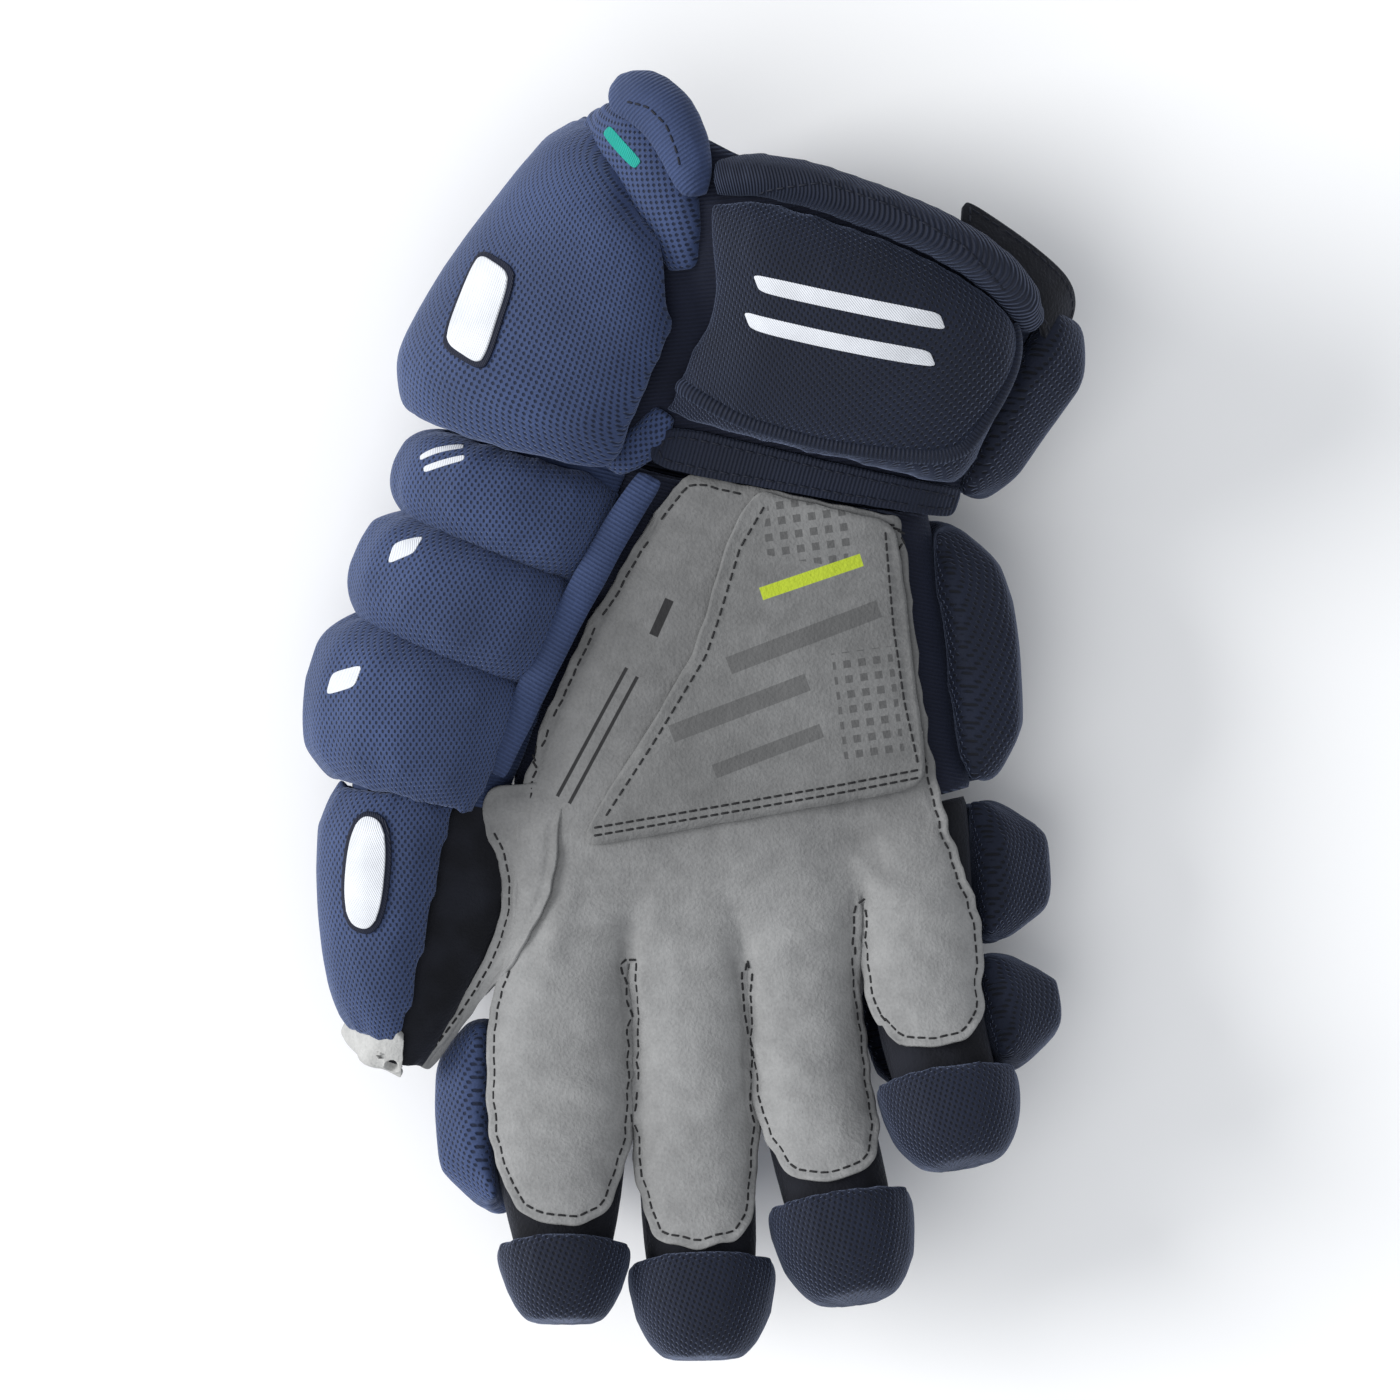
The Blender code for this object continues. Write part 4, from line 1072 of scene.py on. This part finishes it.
# The strap's outer and inner edges, row by row from its free end, in millimetres.
STRAP = [
    (72.5, 137.6, 76.0, 70.6, 121.2, 82.0),
    (79.9, 133.0, 75.0, 77.0, 117.9, 81.0),
    (88.2, 127.8, 73.0, 84.0, 112.6, 79.0),
    (96.4, 122.2, 69.0, 89.3, 107.2, 76.0),
    (102.0, 118.0, 64.0, 92.8, 104.6, 72.0),
    (104.9, 113.9, 59.0, 95.3, 102.0, 68.0),
    (105.6, 109.3, 54.0, 96.2, 99.4, 64.0),
    (103.8, 104.2, 50.0, 95.5, 96.0, 60.0),
]
strap = lofted_sheet("cuff_strap_cloth", STRAP)
work_in(strap, "SUBSURF", levels=3, render_levels=3)
edge, inward = border_of(strap)
strap_seam = edge + inward * 0.0020
work_in(strap, "SOLIDIFY", thickness=0.0016, offset=-1.0)
dress(strap, black_jersey, "gusset_fabric", "cuff_strap")
sew("strap_stitches", strap_seam, strap, dark_thread, "gusset_fabric", closed=True)

# The knot of cloth where the cuff's pads, the wrist band and the thumb's piping are sewn together.
KNOT = [
    (-26.0, 67.0, 57.0, 3.0, 3.0),
    (-21.5, 68.0, 61.0, 5.0, 4.0),
    (-16.5, 71.0, 64.5, 5.5, 4.5),
    (-12.5, 75.0, 67.0, 5.0, 4.0),
    (-9.5, 79.5, 68.0, 3.0, 2.5),
]
knot = bolster("cuff_knot_cloth", KNOT, (-0.3, 0.1, 0.95))
work_in(knot, "SUBSURF", levels=2, render_levels=2)
crumple(knot, 0.006, 0.0012)
unroll(knot, (-0.026, 0.067, 0.057), (-0.0095, 0.0795, 0.064), centre_side=(0.0, 0.0, 1.0))
dress(knot, pad_mesh, "mesh_fabric")

# The marks: raised patches of twill with a dark edge on the cuff and the thumb, and flat heat-pressed
# bars, all of them plain shapes, and the ribbed tape round the wrist panel.
PATCH_WHITE = (0.70, 0.72, 0.76)
MARK_TEAL = (0.010, 0.330, 0.270)
TWILL_PITCH = 0.0007
PRESS_REACH = 0.015
SUNK_DEPTH = 0.0006
FILM_THICKNESS = 0.0002
PANEL_HEIGHT = 0.078
TAPE_RINGS = 60
TAPE_SIDES = 12


def patch_cloth(name, look):
    """Pressed twill: very fine slanted ribs under a flat film."""
    dye = Dye(name)
    x, y, z = dye.parts(dye.place())
    ribs = ((x + y * 0.6 + z * 0.8) * (math.tau / TWILL_PITCH)).cosine()
    patches = dye.speckle(dye.place(), 120.0)
    shade = (patches * 0.8 + ribs * 0.08).step(0.1, 0.8)
    colour = dye.mix(shade, tuple(0.86 * c for c in look), tuple(min(1.0, 1.06 * c) for c in look))
    return dye.finish(colour, 0.55, ribs, 0.00008)


def lay_patch(name, surface, spot, turn, width, length, look, thickness, slant, roundness=5.0):
    """A flat shape laid on a pad at a place in plan: a rounded bar, turned, slanted and pressed down."""
    skin = skin_of(surface)
    above = Vector((spot[0] / 1000.0, spot[1] / 1000.0, ABOVE_ALL))
    centre, normal, _, _ = skin.ray_cast(above, DOWN)
    along = Vector((math.cos(math.radians(turn)), math.sin(math.radians(turn)), 0.0))
    along = (along - normal * along.dot(normal)).normalized()
    across = normal.cross(along)
    bpy.ops.object.select_all(action="DESELECT")
    bpy.ops.mesh.primitive_grid_add(x_subdivisions=28, y_subdivisions=20, size=2.0)
    patch = bpy.context.object
    patch.name = name
    corners = points_of(patch)
    pressed = []
    for u, v, _ in corners:
        size = max(abs(u), abs(v))
        round_size = (abs(u) ** roundness + abs(v) ** roundness) ** (1.0 / roundness)
        scale = size / round_size if round_size > 0.0 else 1.0
        u, v = u * scale, v * scale
        place = centre + along * ((u * length + v * slant) / 2000.0) + across * (v * width / 2000.0)
        hit = skin.ray_cast(place + normal * PRESS_REACH, -normal)[0]
        pressed.append(tuple(hit if hit is not None else skin.find_nearest(place)[0]))
    move_points(patch, np.array(pressed))
    if sum((face.normal.dot(normal) for face in patch.data.polygons)) < 0.0:
        patch.data.flip_normals()
    work_in(patch, "SMOOTH", factor=0.5, iterations=3)
    whole = thickness + SUNK_DEPTH
    work_in(patch, "SOLIDIFY", thickness=whole, offset=(thickness - SUNK_DEPTH) / whole)
    work_in(patch, "BEVEL", width=min(0.0004, thickness * 0.4), segments=2, limit_method="ANGLE")
    dress(patch, look, "plain_fabric")


white_twill = patch_cloth("white_twill", PATCH_WHITE)
dark_twill = patch_cloth("dark_twill", (0.006, 0.009, 0.024))
teal_film = patch_cloth("teal_film", MARK_TEAL)
for name, look, grow, thickness in (("edge", dark_twill, 3.2, 0.0007), ("face", white_twill, 0.0, 0.0013)):
    wide, long = 15.0 + grow, 27.0 + grow
    lay_patch(f"cuff_patch_{name}", cuff_side, (-60.5, 107.0), 72.0, wide, long, look, thickness, 4.0)
    wide, long = 11.5 + grow, 31.0 + grow
    lay_patch(f"thumb_patch_{name}", thumb_pad, (-93.0, -48.0), 84.0, wide, long, look, thickness, 2.0, 2.6)
BARS = [
    # name, the piece under it, place, turn, width, length, look, slant and roundness
    ("roll_bar_1a", thumb_rolls[0], (-72.0, 69.5), 4.0, 2.0, 13.0, white_twill, 0.0, 5.0),
    ("roll_bar_1b", thumb_rolls[0], (-71.0, 65.6), 4.0, 2.0, 13.0, white_twill, 0.0, 5.0),
    ("roll_bar_2", thumb_rolls[1], (-82.0, 42.0), 8.0, 5.5, 9.0, white_twill, 3.0, 5.0),
    ("roll_bar_3", thumb_rolls[2], (-99.0, 5.6), 4.0, 6.0, 11.0, white_twill, 3.0, 5.0),
    ("cuff_roll_bar", lower_roll, (-21.8, 150.8), -42.0, 3.4, 17.0, teal_film, 0.0, 5.0),
    ("panel_bar_1", wrist_panel, (40.0, 106.0), -12.0, 4.6, 52.0, white_twill, -3.0, 8.0),
    ("panel_bar_2", wrist_panel, (37.5, 96.0), -12.0, 4.6, 52.0, white_twill, -3.0, 8.0),
]
for name, surface, spot, turn, width, length, look, slant, roundness in BARS:
    lay_patch(name, surface, spot, turn, width, length, look, FILM_THICKNESS, slant, roundness)


def lay_tape(name, surface, spots, width, height, look):
    """A half-round tape sewn along a line of places in plan, in millimetres."""
    skin = skin_of(surface)
    spots = np.array(spots) / 1000.0
    travelled = distances(spots)
    runs = np.linspace(0.0, travelled[-1], TAPE_RINGS)
    route = []
    for run in runs:
        x, y = (np.interp(run, travelled, spots[:, axis]) for axis in (0, 1))
        spot, normal, _, _ = skin.find_nearest(Vector((x, y, PANEL_HEIGHT)))
        route.append((np.array(spot), np.array(normal)))
    for _ in range(4):
        route = [route[0]] + [
            ((a[0] + b[0] * 2 + c[0]) / 4, (a[1] + b[1] * 2 + c[1]) / 4)
            for a, b, c in zip(route, route[1:], route[2:])
        ] + [route[-1]]
    rings = []
    for number, (spot, normal) in enumerate(route):
        ahead = route[min(number + 1, TAPE_RINGS - 1)][0] - route[max(number - 1, 0)][0]
        across = np.cross(normal, ahead)
        across /= np.linalg.norm(across)
        normal = normal / np.linalg.norm(normal)
        rings.append(ring_at(spot, across, normal, width / 2, height / 2, TAPE_SIDES))
    tape = ring_bag(name, rings)
    layer = tape.data.uv_layers.new(name="weave")
    for face in tape.data.polygons:
        for loop in face.loop_indices:
            ring, side = divmod(tape.data.loops[loop].vertex_index, TAPE_SIDES)
            layer.data[loop].uv = (runs[ring], side * width / 6)
    work_in(tape, "SUBSURF", levels=1, render_levels=1)
    dress(tape, look, "plain_fabric")


PANEL_EDGE = [
    (-7.0, 86.5), (17.0, 78.6), (42.3, 71.6), (66.0, 65.8), (76.0, 67.5), (83.5, 84.6), (87.0, 104.3),
]
lay_tape("wrist_panel_binding", wrist_panel, PANEL_EDGE, 0.0048, 0.0034, deep_binding)
